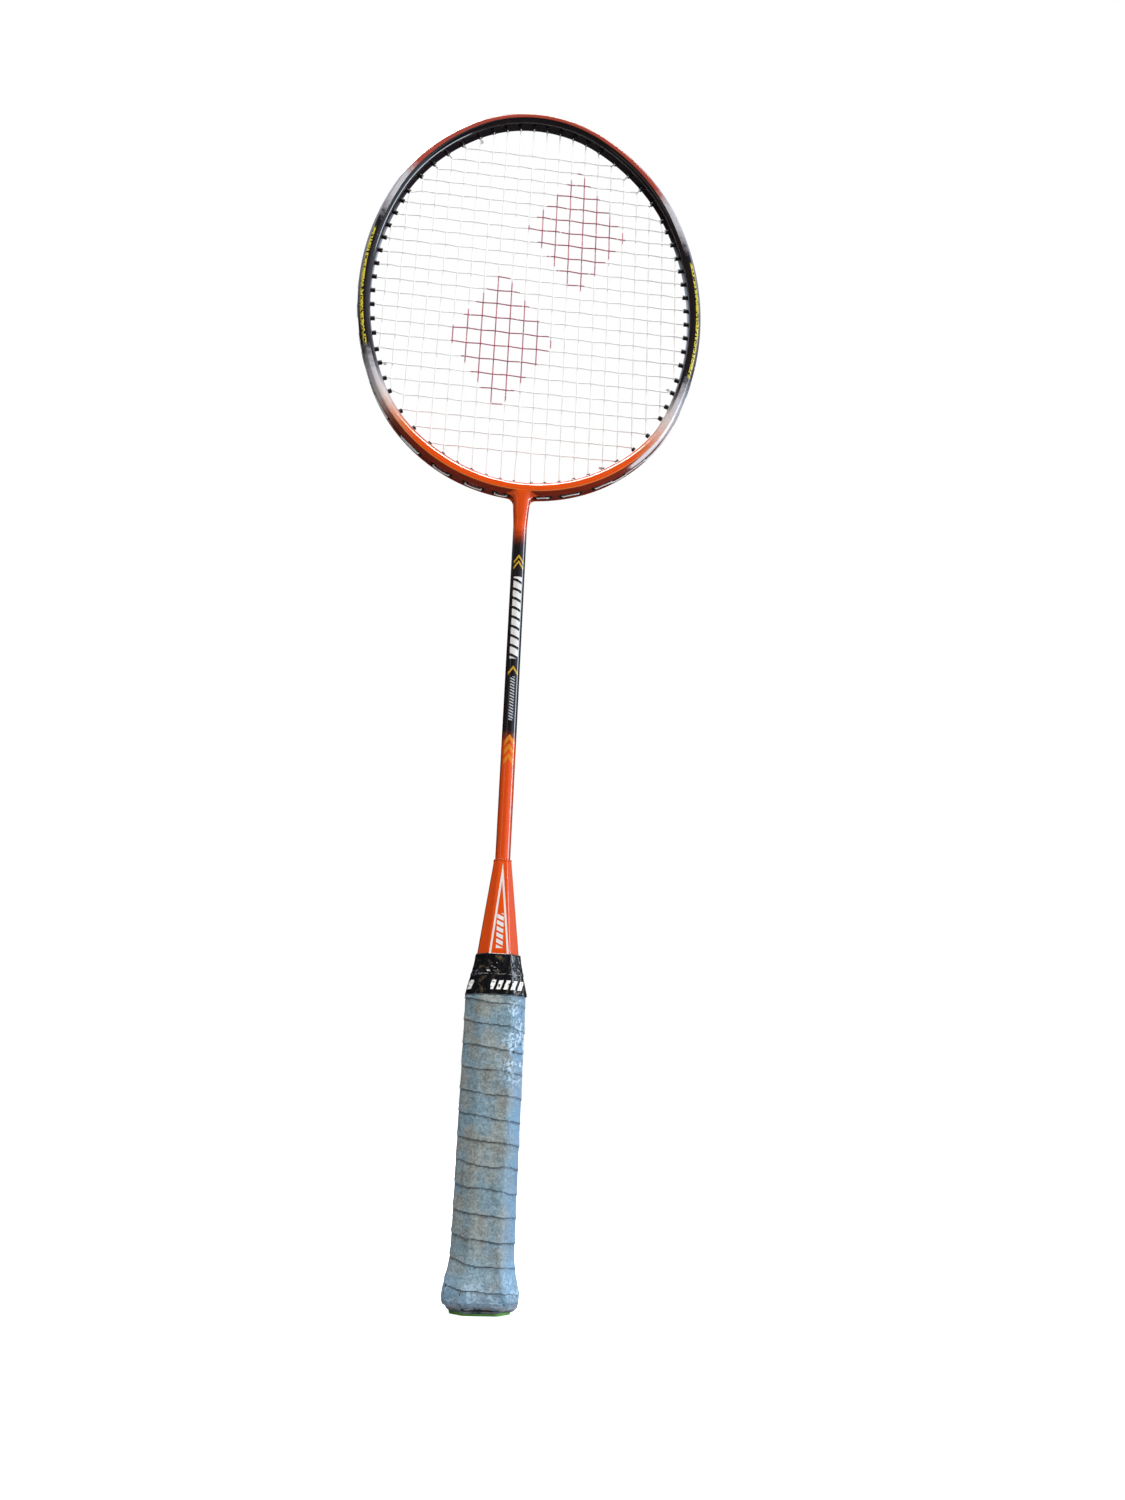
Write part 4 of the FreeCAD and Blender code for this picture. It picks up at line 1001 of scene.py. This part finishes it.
def dress_cad_nodes():
    """Materials of the CAD nodes that stay: strings, grommets and the hidden pieces."""
    nylon = string_look()
    for node in ("main_string", "cross_string"):
        dress_node(node, nylon)
    coal, soot = rgb(16, 16, 18), rgb(34, 33, 34)
    rubber = plain_look("grommet_plastic", coal, soot, roughness=0.38, size=0.5, bump=0.08)
    for node in frame["nodes"]:
        if node.startswith("grommets_"):
            dress_node(node, rubber)
    wood = wood_look()
    for node in ("handle_core_front", "handle_core_back"):
        dress_node(node, wood)
    slate, dark_slate = rgb(60, 60, 62), rgb(40, 40, 44)
    resin = plain_look("insert_resin", slate, dark_slate, roughness=0.5, size=0.8, bump=0.1)
    dress_node("t_joint", resin)
    ink, dusty_ink = rgb(24, 24, 26), rgb(44, 42, 42)
    cap = plain_look("cap_plastic", ink, dusty_ink, roughness=0.45, size=0.8, bump=0.1)
    dress_node("butt_cap", cap)
    wrap = plain_look("base_wrap", dark_slate, rgb(70, 66, 62), roughness=0.7, size=1.0, bump=0.3)
    dress_node("base_grip", wrap)


# ---------------------------------------------------------------- stage, camera and light

# Places and sizes on the stage are in metres, camera angles in degrees.
CAMERA_PLACE = Vector((-0.0343, -0.5632, 0.0887))
CAMERA_TURN = 6.3
CAMERA_PITCH = 17.2
CAMERA_ROLL = 2.17
CAMERA_LENS = 27.6


def camera():
    """A phone-like camera low in front of the racket, looking up at its head."""
    data = bpy.data.cameras.new("camera")
    data.lens = CAMERA_LENS
    data.clip_start = 0.01
    made = bpy.data.objects.new("camera", data)
    turn = Matrix.Rotation(math.radians(-CAMERA_TURN), 4, "Z")
    pitch = Matrix.Rotation(math.radians(90 + CAMERA_PITCH), 4, "X")
    roll = Matrix.Rotation(math.radians(CAMERA_ROLL), 4, "Z")
    made.matrix_world = Matrix.Translation(CAMERA_PLACE) @ turn @ pitch @ roll
    bpy.context.scene.collection.objects.link(made)
    bpy.context.scene.camera = made


def floor_look():
    """Pale paper that looks white, throws back part of the light and mirrors as a dark ground."""
    look = Look("floor_paper")
    path = look.new("LightPath")
    seen = path.outputs["Is Camera Ray"]
    bounce = look.mix(path.outputs["Is Glossy Ray"], rgb(160, 160, 160), rgb(60, 56, 54))
    grain = look.noise(40.0, 3.0)
    pale = look.mix(grain, rgb(250, 250, 250), rgb(247, 247, 248))
    look.feed(look.surface.inputs["Emission Color"], (1.0, 1.0, 1.0, 1.0))
    look.feed(look.surface.inputs["Emission Strength"], seen)
    return look.finish(look.mix(seen, bounce, pale), 0.9, grain, 0.05)


FLOOR_HALF = 60.0


def floor():
    """A wide pale floor under the butt."""
    signs = ((-1, -1), (1, -1), (1, 1), (-1, 1))
    corners = [(FLOOR_HALF * x, FLOOR_HALF * y, 0) for x, y in signs]
    mesh = bpy.data.meshes.new("floor")
    mesh.from_pydata(corners, [], [(0, 1, 2, 3)])
    made = bpy.data.objects.new("floor", mesh)
    made.data.materials.append(floor_look())
    bpy.context.scene.collection.objects.link(made)


LIT_POINT = (0.0, 0.0, 0.33)


def soft_light(name, place, size, power, tint):
    """A rectangular light that faces the middle of the racket; size is (width, height)."""
    data = bpy.data.lights.new(name, "AREA")
    data.shape = "RECTANGLE"
    data.size, data.size_y = size
    data.energy = power
    data.color = tint
    made = bpy.data.objects.new(name, data)
    made.location = place
    direction = Vector(LIT_POINT) - Vector(place)
    made.rotation_euler = direction.to_track_quat("-Z", "Y").to_euler()
    bpy.context.scene.collection.objects.link(made)


PAPER_WHITE = (1.0, 1.0, 1.0, 1.0)
STUDIO_LEFT = (0.1, 0.095, 0.09, 1.0)
STUDIO_RIGHT = (0.7, 0.8, 0.95, 1.0)
REAR_SKY = (0.9, 1.02, 1.2, 1.0)


def world():
    """White to the camera; to light and reflections a studio, brighter and bluer on the right.

    The studio dims towards the back, except for the sky that is high up behind the racket.
    """
    made = bpy.data.worlds.new("studio")
    made.use_nodes = True
    nodes = Nodes(made.node_tree)
    x, y, z = nodes.split(nodes.new("TexCoord").outputs["Generated"])
    walls = nodes.ramp(nodes.slope(x, (-1.0, 1.0)), ((0.55, STUDIO_LEFT), (0.95, STUDIO_RIGHT)))
    dimmed = nodes.scale(walls, nodes.slope(y, (-0.2, 0.6), (1.0, 0.08)))
    sky_share = nodes.times(nodes.slope(z, (0.42, 0.6)), nodes.slope(y, (0.0, 0.3)))
    studio = nodes.mix(sky_share, dimmed, REAR_SKY)
    seen = nodes.new("LightPath").outputs["Is Camera Ray"]
    background = nodes.tree.nodes["Background"]
    nodes.feed(background.inputs["Color"], nodes.mix(seen, studio, PAPER_WHITE))
    bpy.context.scene.world = made


def lights():
    """A high key light in front, sky light from the right, a weak fill and a light behind."""
    wide = (1.2, 0.8)
    soft_light("key", (0.1, -1.2, 2.8), wide, power=92.0, tint=(1.0, 0.99, 0.97))
    soft_light("sky_right", (1.1, -0.12, 0.4), (0.25, 1.7), power=13.0, tint=(0.78, 0.89, 1.0))
    soft_light("fill_left", (-1.3, -1.3, 0.5), (0.15, 1.4), power=0.9, tint=(1.0, 0.97, 0.94))
    soft_light("back", (-0.3, 1.6, 2.8), wide, power=22.0, tint=(1.0, 1.0, 1.0))


build_object()
dress_cad_nodes()
camera()
floor()
world()
lights()
bpy.context.scene.view_settings.view_transform = "Standard"
